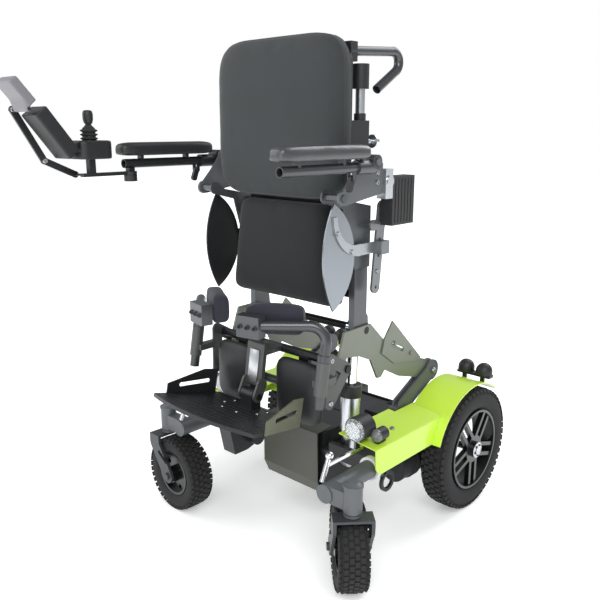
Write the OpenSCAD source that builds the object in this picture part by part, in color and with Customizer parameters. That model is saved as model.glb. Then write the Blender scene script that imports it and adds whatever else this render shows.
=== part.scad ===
// Standing wheelchair, millimetres, standing on the ground plane, front towards -Y

/* [Placement] */
// Distance Y back to middle chair
frame_y = 177.5; // [174:0.5:181]
// Overrun of cuts past faces
over = 2; // [1.9:0.1:2.1]
// Turning fit clearance, on radius
run_gap = 0.06; // [0.05:0.01:0.07]
// Clearance between pieces
part_gap = 0.6; // [0.57:0.01:0.63]
// Steel plates thickness
plate_t = 6; // [5.7:0.1:6.3]
// Sheet mouldings thickness
sheet_t = 3; // [2.8:0.1:3.2]
// Light plate thickness
small_t = 4; // [3.8:0.1:4.2]
// Heavy plate thickness
mid_t = 8; // [7.6:0.1:8.4]
// Small pin radius
pin_r = 8; // [7.6:0.1:8.4]
// Frame tube radius
tube_r = 11; // [10:1:12]
// Frame tube bore radius
tube_bore = 8.5; // [8.1:0.1:8.9]
// Lug radius
lug_half = 16; // [15:1:17]
// Swell of tube bends
swell = 0.4; // [0.38:0.01:0.42]
// Bolt heads radius
bolt_r = 6; // [5.7:0.1:6.3]
// Bolt heads Z
bolt_h = 4; // [3.8:0.1:4.2]

/* [Drive wheels] */
// Drive axle behind working datum
axle_y = 235; // [230:1:240]
// Drive tyre radius
tyre_r = 178; // [174:1:182]
// Drive tyre width
tyre_w = 76; // [74:1:78]
// Drive tyre shoulder radius
tyre_round = 24; // [23:1:25]
// Middle drive wheel X
wheel_x = 300; // [294:1:306]
// Wheel rim radius
rim_r = 116; // [114:1:118]
// Wheel rim width
rim_w = 70; // [69:1:71]
// Wheel rim wall
rim_wall = 7; // [6.6:0.1:7.4]
// Plate in middle rim radius
rim_plate_r = 40; // [38:1:42]
// Width of one spoke
spoke_w = 11; // [10:1:12]
// Depth of one spoke
spoke_t = 14; // [13:1:15]
// Pitch of two paired spokes
spoke_space = 30; // [28:1:32]
// Hub radius
hub_r = 23; // [22:1:24]
// Hub past rim stand
hub_out = 8; // [7.6:0.1:8.4]
// Hub bolts radius
lug_r = 3.5; // [3.3:0.1:3.7]
// Ring of hub bolts radius
lug_ring_r = 15; // [14:1:16]

/* [Casters] */
// Caster stem X
caster_x = 341; // [334:1:348]
// Caster stem Y
caster_y = -333; // [-340:1:-326]
// Caster tyre radius
caster_r = 107; // [105:1:109]
// Caster tyre width
caster_w = 72; // [71:1:73]
// Caster tyre shoulder radius
caster_round = 22; // [21:1:23]
// Caster rim radius
caster_rim_r = 62; // [61:1:63]
// Caster rim width
caster_rim_w = 58; // [55:1:61]
// Caster axle behind its stem
trail = 50; // [48:1:52]
// Left caster, degrees heading
caster_turn_left = 136.5; // [134:0.5:139]
// Right caster, degrees heading
caster_turn_right = -2.2; // [-2.3:0.1:-2.1]
// Room beside caster tyre
fork_clear = 4; // [3.8:0.1:4.2]
// Fork legs half width
fork_leg_r = 21; // [20:1:22]
// Underside fork crown Z
crown_low = 211; // [207:1:215]
// Fork crown thickness
crown_t = 6; // [5.7:0.1:6.3]
// Caster stem radius
stem_r = 11; // [10:1:12]
// Stem housing radius
housing_r = 22; // [21:1:23]
// Bottom stem housing Z
housing_low = 218; // [214:1:222]
// Top stem housing Z
housing_top = 288; // [282:1:294]

/* [Caster arms] */
// Caster arm tube X
arm_tube_x = 270; // [265:1:275]
// Caster arm tube radius
arm_tube_r = 23; // [22:1:24]
// Front end caster arm tube
arm_front_y = -352; // [-359:1:-345]
// Rear end caster arm tube
arm_rear_y = -166; // [-169:1:-163]
// Caster arm tube Z
arm_tube_z = 250; // [245:1:255]
// Levelling strut X
strut_x = 262; // [257:1:267]
// Foot strut Y
strut_low_y = -349; // [-356:1:-342]
// Foot strut Z
strut_low_z = 277; // [271:1:283]
// Head strut Y
strut_top_y = -323; // [-329:1:-317]
// Head strut Z
strut_top_z = 334; // [327:1:341]
// Tie-down ring X
ring_x = 247; // [242:1:252]
// Tie-down ring Y
ring_y = -75; // [-77:1:-73]
// Middle tie-down ring Z
ring_z = 170; // [167:1:173]
// Tie-down ring outer radius
ring_r = 29; // [28:1:30]
// Tie-down ring bore radius
ring_bore = 20; // [19:1:21]

/* [Base] */
// Battery box half width
box_half = 100; // [98:1:102]
// Front battery box
box_front = -158; // [-161:1:-155]
// Back battery box
box_back = 160; // [157:1:163]
// Bottom battery box Z
box_low = 115; // [113:1:117]
// Top battery box Z
box_top = 286; // [280:1:292]
// Front front cover
cover_front = -183; // [-187:1:-179]
// Lower edge front cover Y
cover_low_y = -166; // [-169:1:-163]
// Fold front cover Z
cover_fold = 152; // [149:1:155]
// Top front cover Z
cover_top = 295; // [289:1:301]
// Back edge lip front cover
cover_back = -122; // [-124:1:-120]
// Outer face base rail X
rail_out = 126; // [123:1:129]
// Back end base rail
rail_back = 300; // [294:1:306]
// Underside base rail Z
rail_low = 195; // [191:1:199]
// Top base rail Z
rail_top = 245; // [240:1:250]
// Outer end front beam
beam_out = 296; // [290:1:302]
// Front beam depth
beam_t = 14; // [13:1:15]
// Rear cross tie Y
tie_y = 172; // [169:1:175]
// Rear cross tie depth
tie_d = 20; // [19:1:21]
// Front tower seat
seat_block_front = 20; // [19:1:21]
// Back tower seat
seat_block_back = 96; // [94:1:98]
// Top tower seat Z
seat_block_top = 300; // [294:1:306]
// Outer edge tower seat
seat_block_out = 206; // [202:1:210]
// Motor X
motor_x = 222; // [218:1:226]
// Motor Z
motor_z = 172; // [169:1:175]
// Motor radius
motor_r = 40; // [38:1:42]
// Front end motor
motor_front = -10; // [-11:1:-9]
// Ribbed ring motor Y
motor_ring_y = 34; // [32:1:36]
// Ribbed ring motor length
motor_ring_len = 26; // [25:1:27]
// Inner face gearbox X
gear_in = 186; // [182:1:190]
// Outer face gearbox X
gear_out = 258; // [253:1:263]
// Gearbox radius
gear_r = 48; // [46:1:50]

/* [Fenders and lamps] */
// Fender arch outer radius
fender_r = 193; // [189:1:197]
// Rear tip arch, degrees angle
fender_rear_deg = 52; // [49:1:55]
// Front lip arch, degrees angle
fender_front_deg = 160; // [157:1:163]
// Outer edge arch X
fender_out = 328; // [321:1:335]
// Outer face front box fender
fender_side = 305; // [299:1:311]
// Inner edge top sheet X
fender_in = 188; // [184:1:192]
// Front edge top sheet
fender_front = -200; // [-204:1:-196]
// Back end top sheet
fender_back = 95; // [93:1:97]
// Top sheet inner edge Z
fender_in_z = 328; // [321:1:335]
// Top sheet outer edge Z
fender_out_z = 316; // [310:1:322]
// Lower edge side face Z
fender_low = 246; // [241:1:251]
// Side face corner radius
fender_corner = 30; // [28:1:32]
// Front notch for tower
fender_notch_y = 12; // [11:1:13]
// Headlight X
lamp_x = 245; // [240:1:250]
// Headlight Y
lamp_y = -186; // [-190:1:-182]
// Headlight Z
lamp_z = 355; // [348:1:362]
// Headlight radius
lamp_r = 31; // [29:1:33]
// Headlight housing depth
lamp_d = 46; // [44:1:48]
// Indicator X
winker_x = 284; // [278:1:290]
// Indicator Y
winker_y = -140; // [-143:1:-137]
// Indicator Z
winker_z = 340; // [333:1:347]
// Inner rear lamp X
tail_in = 241; // [236:1:246]
// Outer rear lamp X
tail_out = 299; // [293:1:305]
// Rear lamps Y
tail_y = 330; // [323:1:337]
// Base rear lamps Z
tail_z = 372; // [365:1:379]
// Rear lamps radius
tail_r = 24; // [23:1:25]

/* [Lift] */
// Tower pivot Y
tower_y = 204; // [200:1:208]
// Tower pivot Z
tower_z = 395; // [387:1:403]
// Tower head radius
tower_head_r = 30; // [28:1:32]
// Inner cheek tower X
tower_in = 178; // [174:1:182]
// Outer face tower X
tower_out = 202; // [198:1:206]
// Front tower foot
tower_foot_front = 26; // [25:1:27]
// Back tower foot
tower_foot_back = 90; // [88:1:92]
// Top tower foot Z
tower_foot_top = 351; // [344:1:358]
// Tower limb half width
tower_arm_r = 24; // [23:1:25]
// Pivot pins radius
pivot_r = 10; // [9:1:11]
// Inner face lift arm X
arm_x = 187; // [183:1:191]
// Front end lift arm outline
arm_front = -212; // [-216:1:-208]
// Lift arm outline length
arm_len = 416; // [408:1:424]
// Lowest Z lift arm outline
arm_low_z = 415; // [407:1:423]
// Lift arm outline Z
arm_high = 175; // [171:1:179]
// Leg pivot Y
leg_y = -195; // [-199:1:-191]
// Leg pivot Z
leg_z = 500; // [490:1:510]
// Front gusset
gusset_front = -38; // [-40:1:-36]
// Gusset length
gusset_len = 185; // [181:1:189]
// Lowest Z gusset
gusset_low = 446; // [437:1:455]
// Gusset Z
gusset_high = 134; // [131:1:137]
// Seat pivot Y
seat_y = -102; // [-104:1:-100]
// Seat pivot Z
seat_z = 576; // [564:1:588]
// Actuator X
actuator_x = 152; // [149:1:155]
// Foot actuator Y
foot_y = -118; // [-120:1:-116]
// Foot actuator Z
foot_z = 215; // [211:1:219]
// Actuator eyes radius
eye_r = 22; // [21:1:23]
// Lower tube actuator radius
tail_tube_r = 20; // [19:1:21]
// Lower tube actuator length
tail_tube_len = 84; // [82:1:86]
// Actuator barrel radius
barrel_r = 26; // [25:1:27]
// Length from foot to end barrel
barrel_len = 188; // [184:1:192]
// Actuator rod radius
piston_r = 15; // [14:1:16]
// Lower end rod past foot
stroke_low = 172; // [169:1:175]
// Clearance in rod eye
eye_slack = 2.5; // [2.4:0.1:2.6]

/* [Seat] */
// Lower edge seat cushion Z
cushion_low = 645; // [632:1:658]
// Seat cushion Z
cushion_h = 257; // [252:1:262]
// Seat cushion half width at foot
cushion_half = 190; // [186:1:194]
// Share seat cushion narrows by
cushion_taper = 0.2; // [0.19:0.01:0.21]
// Underside seat cushion Y
cushion_back = -172; // [-175:1:-169]
// Seat cushion thickness
cushion_t = 54; // [51:1:57]
// Inner face seat rail X
seat_rail_in = 168; // [165:1:171]
// Outer face seat rail X
seat_rail_out = 186; // [182:1:190]
// Front seat rail
seat_rail_front = -145; // [-148:1:-142]
// Back seat rail
seat_rail_back = -95; // [-97:1:-93]
// Lower end seat rail
seat_rail_low = 584; // [572:1:596]
// Upper end seat rail
seat_rail_top = 890; // [872:1:908]
// Lower end seat side plate
seat_plate_low = 740; // [725:1:755]
// Upper end seat side plate
seat_plate_top = 917; // [899:1:935]
// Hip pivot Y
hip_y = -262; // [-267:1:-257]
// Hip pivot Z
hip_z = 921; // [903:1:939]
// Bracket spacer Y
bar_y = -112; // [-114:1:-110]
// Bracket spacer Z
bar_z = 845; // [828:1:862]
// Lower end perforated bracket Y
perf_low_y = -98; // [-100:1:-96]
// Lower end perforated bracket Z
perf_low_z = 691; // [677:1:705]
// Upper end perforated bracket Y
perf_top_y = -78; // [-80:1:-76]
// Upper end perforated bracket Z
perf_top_z = 887; // [869:1:905]
// Inner face side guard X
guard_in = 201; // [197:1:205]
// Front side guard
guard_front = -285; // [-291:1:-279]
// Back side guard
guard_back = -172; // [-175:1:-169]
// Middle side guard Z
guard_z = 780; // [764:1:796]
// Front edge side guard radius
leaf_front_r = 235; // [230:1:240]
// Rear edge side guard radius
leaf_back_r = 142; // [139:1:145]
// Upper end guard strap Z
strap_top_z = 876; // [858:1:894]
// Bend guard strap Y
strap_mid_y = -154; // [-157:1:-151]
// Straight guard strap Z
strap_z = 790; // [774:1:806]
// Rear end guard strap
strap_end_y = -84; // [-86:1:-82]

/* [Backrest] */
// Lower edge back cushion Z
back_low = 903; // [885:1:921]
// Back cushion Z
back_h = 385; // [377:1:393]
// Back cushion half width
back_half = 217; // [213:1:221]
// Share back cushion narrows by
back_taper = 0.02; // [0.01:0.01:0.03]
// Rear back cushion Y
back_back = -186; // [-190:1:-182]
// Back cushion thickness
back_t = 58; // [55:1:61]
// Back shell corner radius
shell_round = 60; // [59:1:61]
// Back post X
post_x = 180; // [176:1:184]
// Back post Y
post_y = -130; // [-133:1:-127]
// Lower end back post
post_low = 936; // [917:1:955]
// Grip roll past post
roll_h = 52; // [49:1:55]
// Lower end post block
post_block_low = 1030; // [1009:1:1051]
// Upper end post block
post_block_top = 1090; // [1068:1:1112]
// Face clamp knob Y
knob_y = -72; // [-73:1:-71]
// Clamp knob Z
knob_z = 1042; // [1021:1:1063]
// Grip roll below handle root
roll_drop = 25; // [24:1:26]
// Front end push handle Y
handle_front_y = -178; // [-182:1:-174]
// Handle root below back top
handle_drop = 47; // [45:1:49]
// Corner push handle Y
handle_tip_y = 92; // [90:1:94]
// Handle tip above root
handle_rise = 17; // [16:1:18]
// Open end push handle Y
handle_end_y = -68; // [-69:1:-67]
// Handle end below root
handle_fall = 79; // [77:1:81]
// Push handle bend radius
handle_bend = 24; // [23:1:25]
// Inner face horn bracket X
horn_in = 236; // [231:1:241]
// Front horn block
horn_block_front = -118; // [-120:1:-116]
// Back horn block
horn_block_back = -90; // [-92:1:-88]
// Lower end horn block
horn_block_low = 911; // [893:1:929]
// Upper end horn block
horn_block_top = 980; // [960:1:1000]
// Back cross bar Y
cross_y = -104; // [-106:1:-102]
// Back cross bar Z
cross_z = 952; // [933:1:971]
// Lower end control module
module_low = 845; // [828:1:862]
// Upper end control module
module_top = 962; // [943:1:981]
// Depth of tube sockets
socket_len = 40; // [38:1:42]

/* [Armrests] */
// Armrest X
rest_x = 265; // [260:1:270]
// Armrest pivot Y
rest_y = -190; // [-194:1:-186]
// Armrest pivot Z
rest_z = 1000; // [980:1:1020]
// Arm pad half width
pad_half = 27; // [26:1:28]
// Front arm pad
pad_front = -500; // [-510:1:-490]
// Back arm pad
pad_back = -214; // [-218:1:-210]
// Underside arm pad Z
pad_low = 1009; // [989:1:1029]
// Arm pad thickness
pad_t = 29; // [28:1:30]
// Armrest tube Z
rest_tube_z = 989; // [969:1:1009]
// Front end armrest tube
rest_tube_front = -486; // [-496:1:-476]
// Front end armrest sleeve
sleeve_front = -250; // [-255:1:-245]
// Front pad stand Y
stand_front = -440; // [-449:1:-431]
// Rear pad stand Y
stand_back = -300; // [-306:1:-294]
// Cam lever Y
lever_y = -262; // [-267:1:-257]
// Cam lever length
lever_len = 44; // [42:1:46]

/* [Joystick] */
// Joystick Y
stick_y = -575; // [-587:1:-563]
// Underside joystick pod Z
pod_low = 1003; // [983:1:1023]
// Joystick pod Z
pod_h = 42; // [40:1:44]
// Joystick pod length
pod_len = 85; // [83:1:87]
// Joystick pod half width
pod_half = 36; // [34:1:38]
// Opening in joystick pod radius
pod_bore = 27; // [26:1:28]
// Gimbal ring radius
gimbal_r = 14; // [13:1:15]
// Gimbal ring bore radius
gimbal_bore = 10; // [9:1:11]
// Neck between pod and panel length
neck_len = 16; // [15:1:17]
// Joystick boot foot radius
boot_r = 19; // [18:1:20]
// Joystick boot Z
boot_h = 36; // [34:1:38]
// Top joystick knob Z
stick_top = 1112; // [1090:1:1134]
// Joystick carrier bar Z
carrier_z = 970; // [951:1:989]
// Front end joystick carrier bar
carrier_front = -600; // [-612:1:-588]
// Swing pin joystick Y
swing_y = -468; // [-477:1:-459]
// Lower end swing pin
swing_pin_low = 946; // [927:1:965]
// Foot control panel Y
panel_low_y = -632; // [-645:1:-619]
// Foot control panel Z
panel_low_z = 1014; // [994:1:1034]
// Head control panel Y
panel_top_y = -706; // [-720:1:-692]
// Head control panel Z
panel_top_z = 1110; // [1088:1:1132]
// Control panel half width
panel_half = 34; // [32:1:36]
// Half thickness control panel
panel_t = 17; // [16:1:18]
// Elbow link bar Y
link_y = -667; // [-680:1:-654]
// Elbow link bar Z
link_z = 1000; // [980:1:1020]
// Upper end link bar Y
link_top_y = -731; // [-746:1:-716]
// Upper end link bar Z
link_top_z = 1112; // [1090:1:1134]
// Display head Y
head_y = -742; // [-757:1:-727]
// Display head Z
head_z = 1148; // [1125:1:1171]
// Display head length
head_len = 64; // [63:1:65]
// Display head Z
head_h = 44; // [42:1:46]
// Display head, degrees tilt
head_tilt = 40; // [38:1:42]

/* [Leg rest] */
// Inner face leg side plate X
leg_in = 202; // [198:1:206]
// Upper corner leg side plate Y
leg_top_y = -256; // [-261:1:-251]
// Upper corner leg side plate Z
leg_top_z = 536; // [525:1:547]
// Lower corner leg side plate Y
leg_low_y = -258; // [-263:1:-253]
// Lower corner leg side plate Z
leg_low_z = 428; // [419:1:437]
// Leg cross tubes Y
leg_tube_y = -236; // [-241:1:-231]
// Upper leg cross tube Z
leg_tube_top = 526; // [515:1:537]
// Lower leg cross tube Z
leg_tube_low = 432; // [423:1:441]
// Middle column half width
column_half = 30; // [28:1:32]
// Head middle column Y
column_top_y = -298; // [-304:1:-292]
// Head middle column Z
column_top_z = 545; // [534:1:556]
// Foot middle column Y
column_low_y = -313; // [-319:1:-307]
// Foot middle column Z
column_low_z = 446; // [437:1:455]
// Calf pad half width
calf_half = 75; // [73:1:77]
// Lower edge calf pad
calf_low = 356; // [349:1:363]
// Calf pad Z
calf_h = 164; // [161:1:167]
// Back calf pad Y
calf_back = -249; // [-254:1:-244]
// Calf pad thickness
calf_t = 34; // [32:1:36]
// Knee tube X
knee_x = 226; // [221:1:231]
// Lower end knee tube Y
knee_low_y = -323; // [-329:1:-317]
// Lower end knee tube Z
knee_low_z = 440; // [431:1:449]
// Upper bend knee tube Y
knee_top_y = -289; // [-295:1:-283]
// Upper bend knee tube Z
knee_top_z = 632; // [619:1:645]
// Knee tube radius
knee_r = 12.5; // [12:0.5:13]
// Knee tube bore radius
knee_bore = 10; // [9:1:11]
// Knee tube bend radius
knee_bend = 40; // [38:1:42]
// Inner end knee tube X
knee_end_x = 104; // [102:1:106]
// Inner end knee tube Y
knee_end_y = -402; // [-410:1:-394]
// Lower end knee sleeve
sleeve_low = 470; // [461:1:479]
// Upper end knee sleeve
sleeve_top = 548; // [537:1:559]
// Knee bracket X
block_x = 89; // [87:1:91]
// Knee bracket Y
block_y = -404; // [-412:1:-396]
// Lower face knee bracket
block_low = 604; // [592:1:616]
// Knee bracket Z
block_h = 52; // [49:1:55]
// Knee bracket width
block_w = 62; // [61:1:63]
// Knee bracket depth
block_d = 30; // [28:1:32]
// Knee bracket, degrees turn
block_yaw = 12; // [11:1:13]
// Knee pad half width
knee_pad_half = 72; // [71:1:73]
// Lower edge knee pad
knee_pad_low = 600; // [588:1:612]
// Knee pad Z
knee_pad_h = 74; // [73:1:75]
// Knee pad outer face Y
knee_pad_back = -372; // [-379:1:-365]
// Knee pad turn, degrees
knee_pad_yaw = 33; // [31:1:35]
// Knee pad past bracket
knee_pad_shift = 31; // [29:1:33]
// Knee pad thickness
knee_pad_t = 44; // [42:1:46]

/* [Footplate] */
// Footplate hinge Y
step_y = -327; // [-334:1:-320]
// Footplate hinge Z
step_z = 418; // [410:1:426]
// Footplate, degrees tilt
step_tilt = 12; // [11:1:13]
// Back edge footplate Y
step_back = -300; // [-306:1:-294]
// Back edge footplate Z
step_back_z = 378; // [370:1:386]
// Footplate corner length
step_len = 192; // [188:1:196]
// Bow front edge footplate
step_bow = 30; // [28:1:32]
// Footplate at back half width
step_half = 152; // [149:1:155]
// Footplate at front half width
step_front_half = 186; // [182:1:190]
// Footplate thickness
step_t = 9; // [8.6:0.1:9.4]
// Footplate grooves depth
rib_d = 1.2; // [1.1:0.1:1.3]
// Side wing length
wing_len = 158; // [155:1:161]
// Side wing at back Z
wing_h = 62; // [61:1:63]
// Side wing at front Z
wing_front_h = 24; // [23:1:25]
// Foot lower bracket Y
keel_y = -379; // [-387:1:-371]
// Foot lower bracket Z
keel_z = 284; // [278:1:290]
// Lower bracket half width
keel_half = 21; // [20:1:22]
// Foot actuator radius
drive_r = 21; // [20:1:22]
// Foot actuator Y
drive_y = -338; // [-345:1:-331]
// Foot actuator Z
drive_z = 318; // [312:1:324]

/* [Hidden] */
$fn = 48;
axle_z = tyre_r;
tower = [tower_y, tower_z];
leg_pivot = [leg_y, leg_z];
seat_pivot = [seat_y, seat_z];
hip = [hip_y, hip_z];
foot = [foot_y, foot_z];
rest_pivot = [rest_y, rest_z];
strap_r = strap_top_z - strap_z;
strap_half = lug_half - over;
lean_deg = atan2(seat_y - foot_y, seat_z - foot_z);
stroke_len = norm(seat_pivot - foot);
fender_slope = atan2(fender_out_z - fender_in_z, fender_side - fender_in);
function fender_top(x) = fender_in_z + (x - fender_in) * tan(fender_slope);
stay_top = fender_top(seat_block_out + tie_d) - sheet_t / cos(fender_slope);
hub_low = rim_w / 2 - spoke_t - sheet_t;
handle_front_z = back_low + back_h - handle_drop;
handle_tip_z = handle_front_z + handle_rise;
handle_end_z = handle_front_z - handle_fall;
roll_top = handle_front_z - roll_drop;
post_top = roll_top - roll_h;
stick_foot_z = pod_low + pod_h / 2;
fork_half = caster_w / 2 + fork_clear;
panel_deg = atan2(panel_top_z - panel_low_z, panel_top_y - panel_low_y);
panel_len = norm([panel_top_y - panel_low_y, panel_top_z - panel_low_z]);

function on_knee(z) = [knee_x,
  knee_low_y + (z - knee_low_z) * (knee_top_y - knee_low_y) / (knee_top_z - knee_low_z), z];

function knee_seat(d) = [block_x + d * sin(knee_pad_yaw), knee_pad_back - d * cos(knee_pad_yaw),
  knee_pad_low + knee_pad_h / 2];

// Shares along and up the lift arm
arm_y_shares = [0.053, 0.305, 0.433, 0.88, 1.019, 0.981, 0.623, 0.464, 0.426, 0.389, 0.313, 0.195, 0.079,
  0.053, 0];
arm_z_shares = [0.989, 1, 0.714, 0.143, 0.029, -0.257, 0, 0.2, 0.11, 0.11, 0.44, 0.566, 0.611, 0.514, 0.629];
// Shares along and up the gusset
gusset_y_shares = [0.24, 1, 0.9, 0.3, 0, 0.06];
gusset_z_shares = [1, 0, -0.04, 0.1, 0.4, 0.7];
bolt_y_shares = [0.3, 0.72];
bolt_z_shares = [0.52, 0.184];
// Shares of the ring insets and ring depths of a cushion
ring_in_shares = [0.09, 0.03, 0.005, 0, 0, 0.012, 0.045, 0.1, 0.19, 0.34, 0.56, 0.78];
ring_y_shares = [0, 0.02, 0.1, 0.28, 0.5, 0.66, 0.78, 0.86, 0.92, 0.96, 0.985, 0.997];
// Shares of the panel length at which the buttons sit
yellow_share = 0.13;
silver_share = 0.5;
// Share that squares the outline of a cushion
square_share = 0.36;
seat_square_share = 0.16;
cushion_sides = 40;

// Drawn on the working datum, moved to the middle
module placed() {
  translate([0, frame_y, 0]) children();
}

module both() {
  children();
  mirror([1, 0, 0]) children();
}

// A side outline, drawn as (y, z)
module side(x0, x1) {
  translate([x0, 0, 0]) rotate([90, 0, 90]) linear_extrude(x1 - x0) children();
}

module slab(x0, x1, y0, y1, z0, z1) {
  translate([x0, y0, z0]) cube([x1 - x0, y1 - y0, z1 - z0]);
}

module rod(p, q, r) {
  v = q - p;
  translate(p) rotate([0, acos(v[2] / norm(v)), atan2(v[1], v[0])]) cylinder(h = norm(v), r = r);
}

module pipe(p, q, r, bore) {
  u = (q - p) / norm(q - p);
  difference() {
    rod(p, q, r);
    rod(p - over * u, q + over * u, bore);
  }
}

module pin(x0, x1, at, r) {
  translate([x0, at[0], at[1]]) rotate([0, 90, 0]) cylinder(h = x1 - x0, r = r);
}

module link(p, q, r) {
  translate(p) circle(r);
  translate(q) circle(r);
  translate(p) rotate(atan2(q[1] - p[1], q[0] - p[0])) translate([0, swell - r])
    square([norm(q - p), 2 * (r - swell)]);
}

module rounded(y0, y1, z0, z1, r) {
  translate([y0 + r, z0 + swell]) square([y1 - y0 - 2 * r, z1 - z0 - 2 * swell]);
  translate([y0 + swell, z0 + r]) square([y1 - y0 - 2 * swell, z1 - z0 - 2 * r]);
  for (y = [y0 + r, y1 - r])
    for (z = [z0 + r, z1 - r])
      translate([y, z]) circle(r);
}

module outline(y0, z0, len_y, len_z, ys, zs) {
  polygon([for (i = [0 : len(ys) - 1]) [y0 + ys[i] * len_y, z0 + zs[i] * len_z]]);
}

module bent(p0, p1, p2, bend, r) {
  d1 = (p1 - p0) / norm(p1 - p0);
  d2 = (p2 - p1) / norm(p2 - p1);
  turn = atan2(d1[0] * d2[1] - d1[1] * d2[0], d1 * d2);
  reach = bend * tan(abs(turn) / 2);
  a = p1 - reach * d1;
  b = p1 + reach * d2;
  c = a + sign(turn) * bend * [-d1[1], d1[0]];
  rod(concat(p0, 0), concat(a + over * d1, 0), r);
  rod(concat(b - over * d2, 0), concat(p2, 0), r);
  translate([c[0], c[1], 0]) rotate(atan2(a[1] - c[1], a[0] - c[0]))
    rotate_extrude(angle = turn) translate([bend, 0]) circle(r + swell);
}

// A stuffed pad with drawn-in sides and a crowned face towards -Y
module cushion(half, h, t, taper, square = square_share) {
  n = cushion_sides;
  m = len(ring_in_shares);
  function ease(v) = sign(v) * pow(abs(v), square);
  function ring(j) = [for (i = [0 : n - 1]) let (
      c = ease(cos(360 * i / n)), s = ease(sin(360 * i / n)),
      inset = ring_in_shares[j] * min(half, h / 2),
      z = s * (h / 2 - inset), x = c * (half * (1 - taper * (1 + 2 * z / h) / 2) - inset))
    [x, -ring_y_shares[j] * t, z + h / 2]];
  pts = concat([for (j = [0 : m - 1]) each ring(j)], [[0, 0, h / 2], [0, -t, h / 2]]);
  walls = [for (j = [0 : m - 2]) for (i = [0 : n - 1]) let (k = (i + 1) % n)
    each [[j * n + i, j * n + k, (j + 1) * n + k], [j * n + i, (j + 1) * n + k, (j + 1) * n + i]]];
  caps = [for (i = [0 : n - 1]) let (k = (i + 1) % n)
    each [[m * n, k, i], [m * n + 1, (m - 1) * n + i, (m - 1) * n + k]]];
  polyhedron(points = pts, faces = concat(walls, caps));
}

// A tyre standing on its rolling axis, which runs along X
module tyre_ring(r, w, bore, shoulder) {
  rotate([0, 90, 0]) rotate_extrude() {
    translate([bore, -w / 2]) square([r - bore - shoulder, w]);
    translate([bore, shoulder - w / 2]) square([r - bore, w - 2 * shoulder]);
    for (s = [-1, 1]) translate([r - shoulder, s * (w / 2 - shoulder)]) circle(shoulder);
  }
}

// Base frame
module base_frame() color("#3a3d40") placed() {
  both() {
    slab(box_half, rail_out, box_front, rail_back, rail_low, rail_top);
    difference() {
      slab(rail_out, beam_out, arm_rear_y, arm_rear_y + beam_t, arm_tube_z - tie_d, arm_tube_z + tie_d);
      translate([arm_tube_x, arm_rear_y - over, arm_tube_z]) rotate([-90, 0, 0])
        cylinder(h = beam_t + 2 * over, r = (arm_tube_r - plate_t));
    }
    slab(box_half, rail_out, arm_rear_y, box_front, arm_tube_z - tie_d, rail_top);
    slab(box_half, seat_block_out, seat_block_front, seat_block_back, seat_block_top - pivot_r,
      seat_block_top);
    slab(box_half, rail_out, seat_block_front, seat_block_back, rail_top, seat_block_top - pivot_r);
    slab(rail_out, gear_in, axle_y - tie_d, axle_y + tie_d, rail_low, rail_top);
    slab(rail_out, ring_x + mid_t, ring_y - tie_d / 2, ring_y + tie_d / 2,
      ring_z + ring_r - pivot_r / 2, ring_z + ring_r + pivot_r / 2);
    slab(seat_block_out, (seat_block_out + tie_d), seat_block_front, seat_block_back - tie_d,
      seat_block_top - pivot_r, seat_block_top);
    slab((seat_block_out + tie_d) - plate_t, (seat_block_out + tie_d), seat_block_front,
      seat_block_back - tie_d, seat_block_top, stay_top);
  }
  slab(-rail_out, rail_out, tie_y, tie_y + tie_d, rail_low, rail_top);
  pin(box_half, actuator_x + tie_d, foot, pin_r);
  tie_down_rings();
}

// Front cover with folded foot and top lip
module front_cover() color("#2b2c2f") placed() {
  side(-box_half, box_half) polygon([
    [cover_low_y, box_low], [cover_front, cover_fold], [cover_front, cover_top - small_t],
    [cover_front + small_t, cover_top], [cover_back, cover_top], [cover_back, cover_top - small_t],
    [cover_front + small_t, cover_top - small_t], [cover_front + small_t, cover_fold],
    [cover_low_y + small_t, box_low]]);
  both() slab(box_half / 2, box_half / 2 + lug_half, cover_front, box_front, cover_fold,
    cover_fold + lug_half);
}

// Open battery tray
module battery_box() color("#1d1e20") placed() difference() {
  slab(-box_half, box_half, box_front, box_back, box_low, box_top);
  slab(sheet_t - box_half, box_half - sheet_t, box_front + sheet_t, box_back - sheet_t,
    box_low + sheet_t, box_top + over);
}

// Two batteries standing in the tray
module batteries() color("#2f3a45") placed() {
  middle = (box_front + box_back) / 2;
  for (y = [box_front + 2 * sheet_t, middle + sheet_t])
    slab(2 * sheet_t - box_half, box_half - 2 * sheet_t, y, y + (box_back - box_front) / 2 - 3 * sheet_t,
      box_low + sheet_t, box_top - 2 * sheet_t);
}

// Drive motors and gearboxes
module drive_units() color("#26282b") placed() both() {
  motor_ring();
  difference() {
    union() {
      rod([motor_x, motor_front, motor_z], [motor_x, axle_y, motor_z], motor_r);
      pin(gear_in, gear_out, [axle_y, axle_z], gear_r);
    }
    pin(gear_in - over, wheel_x, [axle_y, axle_z], pivot_r + run_gap);
  }
}

// Ribbed rings round the motors
module motor_ring() {
  rib = motor_ring_len / 5;
  difference() {
    rod([motor_x, motor_ring_y, motor_z], [motor_x, motor_ring_y + motor_ring_len, motor_z],
      (motor_r + small_t));
    rod([motor_x, motor_ring_y - over, motor_z],
      [motor_x, motor_ring_y + motor_ring_len + over, motor_z], motor_r);
    for (i = [1, 3]) difference() {
      rod([motor_x, motor_ring_y + i * rib, motor_z], [motor_x, motor_ring_y + (i + 1) * rib, motor_z],
        (motor_r + small_t) + over);
      rod([motor_x, motor_ring_y + i * rib - over, motor_z],
        [motor_x, motor_ring_y + (i + 1) * rib + over, motor_z], motor_r + small_t / 2);
    }
  }
}

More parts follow.
